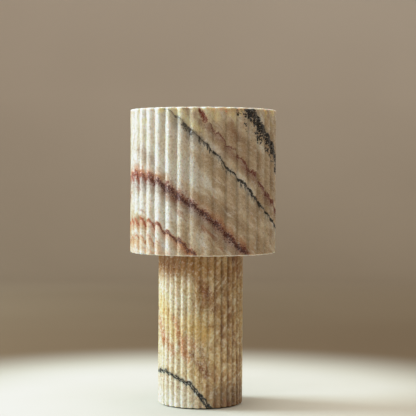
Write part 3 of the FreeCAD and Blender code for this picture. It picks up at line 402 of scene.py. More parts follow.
    # C: dark red grains, a rusty fringe above and a mauve shade below
    d = g.add(sheet(g, x, y, z, 234.6, -0.815, -0.355), g.add(g.mul(rag, 16.0), g.mul(kink, 10.0)))
    d = g.sub(d, g.mul(lift, g.mul(g.span(x, -75.0, -10.0, 1.2, 0.25), fold)))
    d = g.add(d, g.span(x, -64.0, -92.0, 0.0, 5.0))
    base = g.mix(g.mul(band(g, d, -30.0, -6.0, -1.0, 3.0), 0.64), base, srgb(160, 130, 118))
    fringe = g.mul(band(g, d, -4.0, 1.0, 5.0, 22.0), g.span(thin, 0.40, 0.60, 0.35, 1.0))
    base = g.mix(g.mul(fringe, 0.62), base, srgb(196, 134, 90))
    core = g.span(g.math("ABSOLUTE", g.add(d, 1.0)), 11.0, 0.5)
    base = g.mix(g.mul(core, 0.62), base, srgb(172, 104, 82))
    halo = g.mul(band(g, d, -9.0, -2.0, 4.0, 16.0), g.span(x, -45.0, -80.0))
    base = g.mix(g.mul(halo, 0.62), base, srgb(228, 160, 116))
    tint = g.mix(g.span(d, -5.0, 5.0), srgb(84, 36, 42), srgb(140, 66, 52))
    tint = g.mix(g.span(x, -88.0, -50.0), srgb(178, 86, 58), tint)
    base = g.mix(g.mul(speckle(g, g.mul(core, 0.70), grit), 0.90), base, tint)
    base = g.mix(g.mul(speckle(g, g.mul(core, 0.44), dust), 0.85), base, srgb(66, 26, 30))
    # rusty threads between C and D
    gap = band(g, un, 112.0, 122.0, 158.0, 166.0)
    gap = g.mul(gap, g.span(g.noise(bed, 0.13, 3.0, 0.6), 0.55, 0.66))
    base = g.mix(g.mul(gap, 0.50), base, srgb(176, 112, 86))

    # D: a rusty thread, dark red towards the right, orange below it, and a fainter one under it
    d = g.add(sheet(g, x, y, z, 170.2, -0.820, -0.386), g.add(g.mul(rag, 9.0), g.mul(kink, 8.0)))
    d = g.sub(d, g.mul(lift, g.mul(g.span(x, -75.0, -25.0, 1.5, 0.45), fold)))
    d = g.add(d, g.span(x, -64.0, -92.0, 0.0, 3.5))
    west = g.span(x, -40.0, -75.0)
    warm = g.mul(band(g, d, -60.0, -34.0, -30.0, -20.0), g.span(thin, 0.40, 0.58, 0.25, 1.0))
    base = g.mix(g.mul(warm, 0.62), base, srgb(226, 176, 122))
    base = g.mix(g.mul(band(g, d, -16.0, -3.0, 1.0, 6.0), 0.55), base, srgb(220, 158, 114))
    low = g.math("ABSOLUTE", g.add(g.add(d, 23.0), g.mul(kink, 10.0)))
    faint = g.mul(g.span(low, 5.5, 0.5), west)
    base = g.mix(g.mul(faint, 0.45), base, srgb(222, 166, 116))
    base = g.mix(g.mul(speckle(g, g.mul(faint, 0.62), dust), 0.70), base, srgb(196, 118, 70))
    core = g.span(g.math("ABSOLUTE", d), g.span(x, -70.0, -20.0, 4.2, 6.0), 0.5)
    tint = g.mix(g.span(x, -80.0, -40.0), srgb(186, 92, 50), srgb(104, 46, 42))
    base = g.mix(g.mul(core, 0.50), base, srgb(204, 132, 92))
    base = g.mix(g.mul(speckle(g, g.mul(core, 0.74), dust), 0.90), base, tint)
    # a lighter band along the top and bottom edges: partly bruised crystals, partly a painted
    # highlight on the rim
    rim_bruise_and_highlight = g.math("MAXIMUM", g.mul(g.span(z0, 405.6, 407.0), g.span(z0, 407.98, 407.90, 0.15, 1.0)),
                  g.mul(g.span(z0, 212.4, 211.0), g.span(z0, 210.52, 210.60)))
    return g.mix(g.mul(rim_bruise_and_highlight, 0.75), base, srgb(255, 252, 244))


def column_body(g, p, pw):
    x, y, z = g.split(pw)
    rag = g.sub(g.noise(p, 0.28, 4.0, 0.7), 0.5)
    grit = g.span(g.noise(p, 0.46, 2.0, 0.7), 0.30, 0.70, smooth=False)
    dust = g.span(g.noise(p, 0.80, 2.0, 0.7), 0.30, 0.70, smooth=False)
    kink = g.sub(g.noise(p, 0.075, 2.0, 0.6), 0.5)
    # short slanting strokes both ways, over slow clouds
    s1 = g.noise(g.slant(pw, (0.0, 0.62, 0.0), 0.30), 0.17, 4.0, 0.68)
    s2 = g.noise(g.slant(pw, (0.0, -0.70, 0.0), 0.30), 0.15, 4.0, 0.68)
    cloud = g.noise(pw, 0.030, 4.0, 0.6)
    v = g.add(g.add(g.mul(cloud, 0.50), g.mul(s1, 0.30)), g.mul(s2, 0.20))
    # darker and browner towards the right front: partly the stone's tone, partly painted shade on the
    # side away from the key light
    front = g.span(y, 15.0, -20.0)
    v = g.add(v, g.add(g.mul(g.span(x, -56.0, 38.0, -0.106, 0.152), front),
                       g.mul(g.sub(1.0, front), g.span(x, -20.0, -50.0, 0.010, -0.010))))
    base = g.ramp(v, [(0.38, srgb(254, 250, 236)), (0.48, srgb(250, 240, 210)),
                      (0.56, srgb(238, 216, 166)), (0.63, srgb(212, 180, 130)),
                      (0.73, srgb(172, 136, 94))])
    dark = g.span(s1, 0.54, 0.66)
    base = g.mix(g.mul(dark, 0.46), base, srgb(190, 146, 96))
    base = g.mix(g.span(s2, 0.49, 0.37, 0.0, 0.70), base, srgb(254, 249, 232))

    # pale seams between the crystals, in both slants
    net = g.voronoi(g.slant(pw, (0.0, 0.7, 0.0), 0.45), 0.21, feature="DISTANCE_TO_EDGE")
    seam = g.mul(g.span(net, 0.13, 0.02), g.span(cloud, 0.40, 0.56, 1.0, 0.25))
    base = g.mix(g.mul(seam, 0.38), base, srgb(255, 248, 224))

    # darker on the back left, the side that faces the key light: painted shade that holds down that
    # side's glare
    keyside_painted_shade = g.mul(g.sub(1.0, g.span(y, 5.0, -28.0)), g.span(x, 5.0, -25.0))
    base = g.mix(keyside_painted_shade, base, srgb(228, 218, 198), "MULTIPLY")
    # thin slanting threads, amber and pale
    f1 = g.noise(g.slant(pw, (0.0, 0.90, 0.0), 0.14), 0.34, 2.0, 0.5)
    f2 = g.noise(g.slant(pw, (0.0, -0.82, 0.0), 0.14), 0.34, 2.0, 0.5)
    hatch = g.math("MAXIMUM", g.span(f1, 0.555, 0.62), g.span(f2, 0.56, 0.62))
    base = g.mix(g.mul(hatch, g.span(x, -58.0, -20.0, 0.12, 0.34)), base, srgb(188, 138, 80))
    hatch = g.math("MAXIMUM", g.span(f1, 0.43, 0.37), g.span(f2, 0.43, 0.37))
    base = g.mix(g.mul(hatch, g.span(x, 50.0, -20.0, 0.14, 0.36)), base, srgb(255, 250, 232))

    # amber head, partly the stone's amber and partly painted shadow cast by the drum, strongest on the
    # left; honey-coloured middle
    head_amber_and_shadow = g.span(g.add(z, g.mul(rag, 26.0)), 164.0, 190.0)
    base = g.mix(g.mul(head_amber_and_shadow, g.span(x, -20.0, 45.0, 0.80, 0.20)), base,
                 g.mix(g.span(x, -50.0, 0.0), srgb(168, 113, 52), srgb(182, 138, 86)))
    # foot painted darker brown on the right, in the shade, and whiter on the left, towards the key
    # light: painted shade and painted light
    foot_shade_and_light = g.span(g.add(z, g.mul(rag, 20.0)), 46.0, 14.0)
    base = g.mix(g.mul(foot_shade_and_light, g.span(x, 0.0, 25.0, 0.0, 0.66)), base, srgb(134, 101, 65))
    base = g.mix(g.mul(foot_shade_and_light, g.span(x, 5.0, -30.0, 0.0, 0.66)), base, srgb(250, 251, 250))
    for a, b, r, k in (((-55, -22, 143), (-34, -46, 102), 20.0, 0.48),
                       ((-14, -56, 118), (4, -57, 100), 17.0, 0.55),
                       ((20, 54, 120), (-30, 48, 96), 22.0, 0.55),
                       ((52, 22, 150), (57, 0, 120), 18.0, 0.45)):
        base = g.mix(g.mul(streak(g, p, a, b, r, rag), k), base, srgb(250, 220, 144))
    # rusty and brown blotches, broken up by the strokes
    broken = g.span(g.add(g.mul(s2, 0.6), g.mul(grit, 0.25)), 0.33, 0.50)
    rust = g.mul(g.span(g.noise(pw, 0.045, 3.0, 0.6), 0.54, 0.66), g.span(y, -30.0, 20.0, 0.4, 1.0))
    base = g.mix(g.mul(g.mul(rust, broken), 0.60), base, srgb(196, 126, 84))
    for a, b, r, k in (((-57, -14, 116), (-50, -29, 92), 11.0, 0.75),
                       ((-36, -45, 122), (-26, -52, 92), 6.0, 0.70),
                       ((-27, -51, 92), (-17, -55, 68), 8.0, 0.70),
                       ((-50, -30, 96), (-38, -43, 78), 10.0, 0.60),
                       ((-8, -57, 84), (-20, -54, 96), 7.0, 0.40)):
        m = streak(g, p, a, b, r, rag)
        base = g.mix(g.mul(m, 0.35 * k), base, srgb(236, 190, 146))
        base = g.mix(g.mul(g.mul(m, broken), 0.85 * k), base, srgb(208, 128, 80))
    for a, b, r, k in (((-12, -57, 76), (8, -57, 46), 5.5, 0.85),
                       ((8, -57, 46), (2, -57, 82), 5.0, 0.65),
                       ((-2, -57, 176), (8, -56, 158), 10.0, 0.60),
                       ((8, -57, 162), (18, -55, 140), 11.0, 0.72),
                       ((-4, -57, 150), (4, -57, 136), 7.0, 0.35),
                       ((44, -37, 207), (53, -23, 178), 8.5, 0.70),
                       ((36, -45, 150), (42, -40, 128), 8.0, 0.55),
                       ((27, -50, 112), (33, -47, 92), 8.0, 0.40),
                       ((44, -37, 100), (48, -32, 84), 7.0, 0.45),
                       ((34, -46, 9), (40, -42, 2), 6.0, 0.85)):
        m = streak(g, p, a, b, r, rag)
        base = g.mix(g.mul(m, 0.30 * k), base, srgb(196, 152, 116))
        base = g.mix(g.mul(g.mul(m, broken), 0.85 * k), base, srgb(146, 88, 66))

    # F: a chain of blue-black links near the foot, flat at the left and then steep
    px, py, _ = g.split(p)
    lift = g.span(g.vmath("LENGTH", g.join(px, py, 0.0)), 56.0, 59.0, -1.5, 1.5, smooth=False)
    rough = g.sub(g.add(g.mul(rag, 7.0), g.mul(kink, 9.0)), g.mul(lift, 0.6))
    d = g.math("MAXIMUM", g.math("DIVIDE", g.add(sheet(g, x, y, z, 8.6, -0.592, -0.307), rough), 1.2),
               g.math("DIVIDE", g.add(sheet(g, x, y, z, 0.0, -1.20, -0.30), rough), 1.59))
    base = g.mix(g.mul(band(g, d, -36.0, -8.0, -3.0, 1.0), 0.60), base, srgb(238, 232, 216))
    near = g.math("ABSOLUTE", d)
    base = g.mix(g.mul(g.span(near, 6.0, 1.5), 0.55), base, srgb(150, 148, 142))
    wide = g.span(x, -30.0, -5.0, 0.85, 1.25)
    near = g.math("DIVIDE", near, wide)
    rails = band(g, near, 0.15, 0.8, 1.9, 3.0)
    links = g.span(g.noise(g.mapping(p, loc=(3.0, 8.0, 2.0)), 0.34, 1.0, 0.5), 0.45, 0.51)
    links = g.mul(links, g.span(near, 2.2, 1.2))
    line = speckle(g, g.mul(g.math("MAXIMUM", rails, links), 1.02), dust, 0.12)
    base = g.mix(g.mul(line, 0.97), base, srgb(16, 24, 32))
    # small red flecks just under it
    fleck = g.mul(band(g, d, -15.0, -10.0, -7.0, -4.0), g.span(grit, 0.62, 0.78))
    base = g.mix(g.mul(fleck, 0.55), base, srgb(170, 92, 70))
    # darker reed valleys and lighter crests, stronger on the right: painted shade in the valleys and a
    # painted highlight on the crests
    valley_shade = g.mul(g.span(lift, 1.0, -1.2), g.span(x, -30.0, 30.0, 0.08, 0.46))
    base = g.mix(valley_shade, base, srgb(184, 158, 120), "MULTIPLY")
    crest = g.mul(g.span(lift, 0.7, 1.4), g.span(x, -30.0, 30.0, 0.0, 0.22))
    return g.mix(crest, base, srgb(236, 216, 178))


DRUM_TONE = {"warp": 11.0, "warp2": 3.0, "coarse": 0.30, "grain": (0.50, 0.22), "sparkle": 0.26,
             "glint_and_fleck_right": 0.75,
             "g0": srgb(184, 166, 142), "g1": srgb(240, 235, 225), "rough": (0.20, 0.33),
             "relief": 0.0016, "sss": (1.0, 0.84, 0.66), "sss_scale": 0.0036}
COL_TONE = {"warp": 11.0, "warp2": 3.0, "coarse": 0.27, "grain": (0.56, 0.36), "sparkle": 0.46,
            "glint_and_fleck_right": 0.26,
            "g0": srgb(176, 146, 102), "g1": srgb(240, 228, 200), "rough": (0.13, 0.22),
            "relief": 0.0012, "strokes": 0.0008, "sss": (1.0, 0.82, 0.62), "sss_scale": 0.0016}
stone_drum = stone("stone_drum", drum_body, DRUM_TONE)
stone_column = stone("stone_column", column_body, COL_TONE)


# ----------------------------------------------------------- reeded bodies
def smooth_noise(rng, n, length):
    """Periodic smooth noise of n samples with features about length samples long."""
    k = max(2, int(n / length))
    phase = rng.random(k) * 2 * np.pi
    amp = rng.normal(size=k) / np.sqrt(k)
    t = np.arange(n) * 2 * np.pi / n
    out = np.zeros(n)
    for i in range(k):
        out += amp[i] * np.sin((i + 1) * t + phase[i])
    return out


def reed_section(crest, reed, valley, count, per, turn, rng, jitter, wobble):
    """One closed outline: angle and radius of each point, with hand-made unevenness."""
    half = math.pi / count
    c = crest - reed
    e = c * math.cos(half) + math.sqrt((reed + valley) ** 2 - (c * math.sin(half)) ** 2)
    # the tangent point between the reed's arc and the valley's arc
    cx, cy = c, 0.0
    ex, ey = e * math.cos(half), e * math.sin(half)
    tx = cx + (ex - cx) * reed / (reed + valley)
    ty = cy + (ey - cy) * reed / (reed + valley)
    t_ang = math.atan2(ty, tx)
    fine = np.linspace(0, half, 2001)
    rr = np.where(
        fine <= t_ang,
        c * np.cos(fine) + np.sqrt(np.maximum(reed ** 2 - (c * np.sin(fine)) ** 2, 0)),
        e * np.cos(half - fine) - np.sqrt(np.maximum(valley ** 2 - (e * np.sin(half - fine)) ** 2, 0)))
    # even spacing along the outline
    px, py = rr * np.cos(fine), rr * np.sin(fine)
    s = np.concatenate([[0], np.cumsum(np.hypot(np.diff(px), np.diff(py)))])
    pick = np.linspace(0, s[-1], per // 2 + 1)
    f_half, r_half = np.interp(pick, s, fine), np.interp(pick, s, rr)
    local = np.concatenate([-f_half[::-1][:-1], f_half])[:-1]     # from valley to valley
    rad = np.concatenate([r_half[::-1][:-1], r_half])[:-1]
    # each valley sits a little off its true angle
    off = rng.normal(size=count) * jitter
    high = -np.abs(rng.normal(size=count)) * wobble
    ang, radius = [], []
    for k in range(count):
        a0, a1 = off[k], off[(k + 1) % count]
        u = (local + half) / (2 * half)
        ang.append(2 * half * k + local + a0 * (1 - u) + a1 * u)
        radius.append(rad + high[k] * (rad - rad.min()) / (rad.max() - rad.min()))
    # angle 0 is the front (-Y), growing towards +X
    return np.concatenate(ang) + turn, np.concatenate(radius)


def ring_mesh(name, rings):
    """rings: list of (n, 3) arrays in metres, the last joins the first: a closed skin."""
    n = len(rings[0])
    co = np.concatenate(rings)
    m = len(rings)
    i = np.arange(m)[:, None]
    j = np.arange(n)[None, :]
    a = i * n + j
    b = i * n + (j + 1) % n
    c = ((i + 1) % m) * n + (j + 1) % n
    d = ((i + 1) % m) * n + j
    quads = np.stack([a, b, c, d], axis=-1).reshape(-1, 4)
    mesh = bpy.data.meshes.new(name)
    mesh.vertices.add(len(co))
    mesh.vertices.foreach_set("co", co.astype(np.float32).ravel())
    mesh.loops.add(quads.size)
    mesh.loops.foreach_set("vertex_index", quads.astype(np.int32).ravel())
    mesh.polygons.add(len(quads))
    mesh.polygons.foreach_set("loop_start", (np.arange(len(quads)) * 4).astype(np.int32))
    mesh.polygons.foreach_set("use_smooth", np.ones(len(quads), bool))
    mesh.update(calc_edges=True)
    mesh.validate()
    obj = bpy.data.objects.new(name, mesh)
    bpy.context.scene.collection.objects.link(obj)
    return obj


def arc_pts(cx, cz, rad, a0, a1, n):
    t = np.linspace(math.radians(a0), math.radians(a1), n)
    return [(cx + rad * math.cos(k), cz + rad * math.sin(k)) for k in t]


def polar(ang, rad, cx, z):
    zz = np.broadcast_to(z, ang.shape)
    return np.stack([cx + rad * np.sin(ang), -rad * np.cos(ang), zz], axis=1) * MM


def skin_noise(ang, z, waves, amp):
    """Very slight unevenness of a hand-finished surface, mm."""
    out = np.zeros_like(ang)
    for k, m, ph, a in waves:
        out += a * np.sin(k * ang + m * z + ph)
    return out * amp


def make_drum():
    rng = np.random.default_rng(11)
    cx = 3.0
    ang, rad = reed_section(101.2, 8.1, 2.2, 36, 28, math.radians(3.0), rng,
                            math.radians(0.22), 0.20)
    waves = [(rng.integers(3, 40), rng.uniform(-0.05, 0.05), rng.uniform(0, 6.28), rng.normal())
             for _ in range(14)]
    z0, z1 = 210.5, 408.0
    inner, hole, floor = 89.0, 8.5, 222.5
    rings = []

    def circ(r, z):
        rings.append(polar(ang, np.full_like(ang, r), cx, z))

    def outer(inset, z):
        rr = rad - inset + skin_noise(ang, z, waves, 0.045)
        rings.append(polar(ang, rr, cx, z))

    circ(hole, z0)
    for r in (20, 40, 60, 78, 88, 93):
        circ(r, z0)
    e = 1.6
    base = rad.min() - 93 - e
    outer(base * 0.5 + e, z0)
    for t in np.linspace(0, 90, 6):
        outer(e * (1 - math.sin(math.radians(t))), z0 + e * (1 - math.cos(math.radians(t))))
    rows = np.linspace(z0 + e, z1 - e, 110)[1:-1]
    for z in rows:
        outer(0.0, z)
    for t in np.linspace(90, 0, 6):
        outer(e * (1 - math.sin(math.radians(t))), z1 - e * (1 - math.cos(math.radians(t))))
    circ(94.0, z1)
    circ(91.5, z1)
    circ(inner + 1.6, z1)
    circ(inner + 0.7, z1 - 0.35)
    circ(inner + 0.15, z1 - 1.1)
    for z in np.linspace(z1 - 1.8, floor + 5.0, 46):
        circ(inner, z)
    for t in np.linspace(0, 90, 7)[1:]:
        circ(inner - 5 + 5 * math.cos(math.radians(t)), floor + 5 - 5 * math.sin(math.radians(t)))
    for r in (76, 64, 50, 36, 22, 12):
        circ(r, floor)
    circ(hole, floor)
    return ring_mesh("drum_stone", rings)


def make_column():
    rng = np.random.default_rng(5)
    cx = 0.0
    ang, rad = reed_section(58.8, 4.6, 1.1, 36, 20, math.radians(5.7), rng,
                            math.radians(0.30), 0.14)
    waves = [(rng.integers(3, 40), rng.uniform(-0.05, 0.05), rng.uniform(0, 6.28), rng.normal())
             for _ in range(14)]
    z0, z1 = 1.5, 209.5
    rings = []

    def circ(r, z):
        rings.append(polar(ang, np.full_like(ang, r), cx, z))

    def outer(inset, z):
        rr = rad - inset + skin_noise(ang, z, waves, 0.040)
        rings.append(polar(ang, rr, cx, z))

    e = 0.8
    circ(7.0, z1)
    for r in (16, 30, 42, 50, 53):
        circ(r, z1)
    for t in np.linspace(0, 90, 5):
        outer(e * (1 - math.sin(math.radians(t))), z1 - e * (1 - math.cos(math.radians(t))))
    for z in np.linspace(z1 - e, z0 + e, 116)[1:-1]:
        outer(0.0, z)
    for t in np.linspace(90, 0, 5):
        outer(e * (1 - math.sin(math.radians(t))), z0 + e * (1 - math.cos(math.radians(t))))
    circ(53, z0)
    circ(44, z0)
    circ(33, z0)
    circ(33, 4.7)
    circ(26, 4.7)
    circ(20, 4.7)
    circ(20, 27)
    circ(20, 50)
    circ(12, 50)
    circ(7, 50)
    circ(7, 100)
    circ(7, 150)
    # the rings run from the head down: turned about so that the skin faces outwards
    return ring_mesh("column_stone", rings[::-1])


def revolve(name, profile, seg, axis="Z", centre=(0.0, 0.0, 0.0), closed=True, ripple=None):
    """Turns an outline of (radius, height) points in mm about an axis. A closed outline gives
    a ring; an open one starts and ends on the axis. ripple(radius, height, angle) may move
    a point's radius."""
    bm = bmesh.new()
    rows = []
    for r, h in profile:
        if r < 1e-6:
            rows.append([(0.0, 0.0, h)])
            continue
        row = []
        for k in range(seg):
            t = 2 * math.pi * k / seg
            rr = ripple(r, h, t) if ripple else r
            row.append((rr * math.cos(t), rr * math.sin(t), h))
        rows.append(row)
    made = []
    for row in rows:
        out = []
        for px, py, pz in row:
            if axis == "Y":
                px, py, pz = px, pz, py
            out.append(bm.verts.new(((px + centre[0]) * MM, (py + centre[1]) * MM,
                                     (pz + centre[2]) * MM)))
        made.append(out)
    pairs = list(zip(made, made[1:]))
    if closed:
        pairs.append((made[-1], made[0]))
    for r0, r1 in pairs:
        for k in range(seg):
            k1 = (k + 1) % seg
            if len(r0) == 1 and len(r1) == 1:
                break
            if len(r0) == 1:
                bm.faces.new((r0[0], r1[k], r1[k1]))
            elif len(r1) == 1:
                bm.faces.new((r0[k], r0[k1], r1[0]))
            else:
                bm.faces.new((r0[k], r0[k1], r1[k1], r1[k]))
    bmesh.ops.recalc_face_normals(bm, faces=bm.faces)
    if bm.calc_volume(signed=True) < 0:
        bmesh.ops.reverse_faces(bm, faces=bm.faces)
    mesh = bpy.data.meshes.new(name)
    bm.to_mesh(mesh)
    bm.free()
    for poly in mesh.polygons:
        poly.use_smooth = True
    mesh.set_sharp_from_angle(angle=math.radians(35))
    obj = bpy.data.objects.new(name, mesh)
    bpy.context.scene.collection.objects.link(obj)
    return obj


def outward(obj):
    bm = bmesh.new()
    bm.from_mesh(obj.data)
    bmesh.ops.recalc_face_normals(bm, faces=bm.faces)
    if bm.calc_volume(signed=True) < 0:
        bmesh.ops.reverse_faces(bm, faces=bm.faces)
    bm.to_mesh(obj.data)
    bm.free()
    obj.data.update()
    obj.data.set_sharp_from_angle(angle=math.radians(40))


def subtract(obj, cutter):
    mod = obj.modifiers.new("cut", "BOOLEAN")
    mod.operation, mod.solver, mod.object = "DIFFERENCE", "EXACT", cutter
    dg = bpy.context.evaluated_depsgraph_get()
    mesh = bpy.data.meshes.new_from_object(obj.evaluated_get(dg))
    obj.modifiers.clear()
    old, obj.data = obj.data, mesh
    mesh.name = old.name
    bpy.data.meshes.remove(old)
    gone = cutter.data
    bpy.data.objects.remove(cutter)
    bpy.data.meshes.remove(gone)


def threaded(name, low, high, inner, root, crest, pitch, seg, per, wall=None):
    """A tube with a helical thread outside, and inside too where wall is given, in mm. The
    thread fades out over half a pitch at each end."""
    steps = int(round((high - low) / pitch * per))
    bm = bmesh.new()

    def wave(h, t):
        u = (h / pitch - t / (2 * math.pi)) % 1.0
        up = 0.5 + 0.5 * math.cos(2 * math.pi * u)
        fade = min(1.0, (h - low) / (0.5 * pitch), (high - h) / (0.5 * pitch))
        return root + (crest - root) * up * max(0.0, fade)

    outer, inside = [], []
    for k in range(steps + 1):
        h = low + (high - low) * k / steps
        ro, ri = [], []
        for j in range(seg):
            t = 2 * math.pi * j / seg
            w = wave(h, t)
            ro.append(bm.verts.new((w * math.cos(t) * MM, w * math.sin(t) * MM, h * MM)))
            q = w - wall if wall else inner
            ri.append(bm.verts.new((q * math.cos(t) * MM, q * math.sin(t) * MM, h * MM)))
        outer.append(ro)
        inside.append(ri)
    loops = outer + inside[::-1]
    for r0, r1 in zip(loops, loops[1:] + loops[:1]):
        for j in range(seg):
            j1 = (j + 1) % seg
            bm.faces.new((r0[j], r0[j1], r1[j1], r1[j]))
    bmesh.ops.recalc_face_normals(bm, faces=bm.faces)
    if bm.calc_volume(signed=True) < 0:
        bmesh.ops.reverse_faces(bm, faces=bm.faces)
    mesh = bpy.data.meshes.new(name)
    bm.to_mesh(mesh)
    bm.free()
    for poly in mesh.polygons:
        poly.use_smooth = True
    mesh.set_sharp_from_angle(angle=math.radians(60))
    obj = bpy.data.objects.new(name, mesh)
    bpy.context.scene.collection.objects.link(obj)
    return obj


drum = make_drum()
column = make_column()
outward(drum)
outward(column)
# the cord's way in at the rear of the foot, with the seat of its bushing
way_in = revolve("way_in", [(0, 15), (5, 15), (5, 54.5), (8.5, 54.5), (8.5, 70), (0, 70)], 64,
                 axis="Y", centre=(0, 0, 16), closed=False)
subtract(column, way_in)
column.data.set_sharp_from_angle(angle=math.radians(40))

# ------------------------------------------------------- the other materials
def surface(name, a, b, scale, rough, metallic=0.0, bump=0.0, size=0.0002, stretch=(1, 1, 1),
            detail=4.0, spec=0.5, coat=0.0, coat_rough=0.1, sss=0.0, sss_radius=0.002,
            glow=0.0, worn=None):
    """A finish whose colour, gloss and relief all vary with noise in the object's own frame.
    scale is in features per metre; stretch draws the features out along an axis."""
    g = Graph(name)
    v = g.mapping(g.object, scale=stretch)
    n = g.noise(v, scale, detail, 0.6)
    m = g.noise(g.mapping(g.object, loc=(3.0, 5.0, 7.0)), scale * 0.22, 3.0, 0.5)
    c = g.mix(g.span(n, 0.35, 0.65), a, b)
    c = g.mix(g.span(m, 0.48, 0.70, 0.0, 0.45), c, worn or b)
    g.set("Base Color", c)
    g.set("Metallic", metallic)
    g.set("Roughness", g.span(g.add(g.mul(n, 0.6), g.mul(m, 0.4)), 0.35, 0.65, rough[0], rough[1]))
    g.set("Specular IOR Level", spec)
    if coat:
        g.set("Coat Weight", coat)
        g.set("Coat Roughness", coat_rough)
    if sss:
        g.set("Subsurface Weight", sss)
        g.set("Subsurface Radius", (1.0, 0.9, 0.8))
        g.set("Subsurface Scale", sss_radius)
    if bump:
        g.set("Normal", g.bump(n, bump, size))
    return g.mat


def zinc(name):
    """Zinc plate: small bluish and yellowish spangles, with a fine mottle."""
    g = Graph(name)
    cell = g.split(g.voronoi(g.object, 520.0, out="Color"))[0]
    n = g.noise(g.object, 900.0, 3.0, 0.6)
    c = g.ramp(cell, [(0.0, (0.33, 0.35, 0.39, 1)), (0.55, (0.41, 0.41, 0.42, 1)),
                      (1.0, (0.46, 0.44, 0.38, 1))])
    c = g.mix(g.span(n, 0.5, 0.75, 0.0, 0.4), c, (0.30, 0.30, 0.31, 1))
    g.set("Base Color", c)
    g.set("Metallic", 1.0)
    g.set("Roughness", g.span(g.add(g.mul(cell, 0.5), g.mul(n, 0.5)), 0.3, 0.7, 0.36, 0.52))
    g.set("Normal", g.bump(n, 0.15, 0.00003))
    return g.mat


def brass(name, a, b, rings, rough):
    """Brass with fine turning rings round the lamp's axis and a little tarnish."""
    g = Graph(name)
    x, y, z = g.split(g.object)
    n = g.noise(g.object, 260.0, 4.0, 0.6)
    lines = g.noise(g.join(g.mul(x, 0.02), g.mul(y, 0.02), z), rings, 2.0, 0.6)
    tarnish = g.noise(g.mapping(g.object, loc=(1.0, 4.0, 2.0)), 70.0, 4.0, 0.65)
    c = g.mix(g.span(n, 0.35, 0.65), a, b)
    c = g.mix(g.span(tarnish, 0.52, 0.72, 0.0, 0.55), c, (b[0] * 0.55, b[1] * 0.48, b[2] * 0.40, 1))
    g.set("Base Color", c)
    g.set("Metallic", 1.0)
    g.set("Roughness", g.span(g.add(g.mul(lines, 0.5), g.mul(tarnish, 0.5)), 0.35, 0.65,
                              rough[0], rough[1]))
    g.set("Normal", g.bump(lines, 0.35, 0.00008))
    return g.mat


mats = {
    "rubber": surface("rubber", srgb(34, 33, 32), srgb(24, 24, 24), 900.0, (0.75, 0.92),
                      bump=0.5, size=0.0002, spec=0.35, worn=srgb(58, 56, 54)),
    "cover_steel": surface("cover_steel", srgb(38, 38, 39), srgb(30, 30, 31), 1500.0,
                           (0.45, 0.62), bump=0.6, size=0.00012, worn=srgb(50, 50, 51)),
    "brass": brass("brass", (0.80, 0.58, 0.27, 1), (0.71, 0.49, 0.21, 1), 2600.0, (0.22, 0.40)),
    "plated_steel": zinc("plated_steel"),
    "bushing": surface("bushing", srgb(36, 36, 37), srgb(27, 27, 28), 700.0, (0.40, 0.55),
                       bump=0.25, size=0.00015, worn=srgb(52, 52, 53)),
    "block_plastic": surface("block_plastic", srgb(236, 233, 222), srgb(228, 224, 210), 420.0,
                             (0.38, 0.52), bump=0.2, size=0.00015, sss=0.3, sss_radius=0.0012,
                             worn=srgb(214, 208, 190)),
    "holder_brass": brass("holder_brass", (0.74, 0.55, 0.28, 1), (0.66, 0.47, 0.22, 1), 1900.0,
                          (0.26, 0.44)),
    "liner": surface("liner", srgb(170, 138, 98), srgb(146, 114, 76), 500.0, (0.80, 0.95),
                     bump=0.6, size=0.0002, stretch=(1, 1, 0.25), spec=0.2,
                     worn=srgb(128, 98, 64)),
    "porcelain": surface("porcelain", srgb(240, 238, 232), srgb(230, 227, 219), 380.0,
                         (0.30, 0.55), bump=0.3, size=0.00025, sss=0.25, sss_radius=0.0010,
                         worn=srgb(218, 213, 202)),
    "shaft_metal": brass("shaft_metal", (0.78, 0.58, 0.30, 1), (0.68, 0.49, 0.23, 1), 2200.0,
                         (0.20, 0.36)),
    "knob_plastic": surface("knob_plastic", srgb(26, 24, 23), srgb(34, 31, 29), 260.0,
                            (0.24, 0.40), bump=0.15, size=0.0001, coat=0.3,
                            worn=srgb(44, 39, 36)),
    "bulb_cap_metal": surface("bulb_cap_metal", (0.70, 0.70, 0.71, 1), (0.58, 0.58, 0.60, 1),
                              800.0, (0.26, 0.42), metallic=1.0, bump=0.25, size=0.00008,
                              stretch=(0.1, 0.1, 1), worn=(0.50, 0.49, 0.47, 1)),
    "bulb_black": surface("bulb_black", srgb(30, 26, 27), srgb(44, 36, 38), 420.0, (0.10, 0.24),
                          bump=0.2, size=0.00015, coat=0.6, worn=srgb(62, 48, 50)),
    "bulb_white": surface("bulb_white", srgb(244, 243, 239), srgb(238, 236, 230), 300.0,
                          (0.24, 0.34), bump=0.1, size=0.0001, sss=0.4, sss_radius=0.0015,
                          worn=srgb(232, 229, 220)),
    "bulb_diffuser": surface("bulb_diffuser", srgb(250, 248, 242), srgb(246, 243, 234), 180.0,
                             (0.32, 0.42), bump=0.12, size=0.00012, sss=0.85,
                             sss_radius=0.0040, worn=srgb(242, 238, 226)),
    "bulb_board": surface("bulb_board", srgb(240, 241, 240), srgb(232, 234, 233), 600.0,
                          (0.30, 0.42), bump=0.1, size=0.00006, worn=srgb(222, 224, 222)),
    "led": surface("led", srgb(246, 214, 70), srgb(238, 198, 52), 1400.0, (0.28, 0.40),
                   bump=0.3, size=0.00008, sss=0.4, sss_radius=0.0006, coat=0.5,
                   worn=srgb(250, 226, 110)),
    "lead_live": surface("lead_live", srgb(118, 66, 38), srgb(104, 56, 32), 500.0, (0.36, 0.50),
                         bump=0.15, size=0.0001, worn=srgb(90, 50, 30)),
    "lead_neutral": surface("lead_neutral", srgb(44, 78, 146), srgb(36, 66, 130), 500.0,
                            (0.36, 0.50), bump=0.15, size=0.0001, worn=srgb(30, 54, 108)),
}
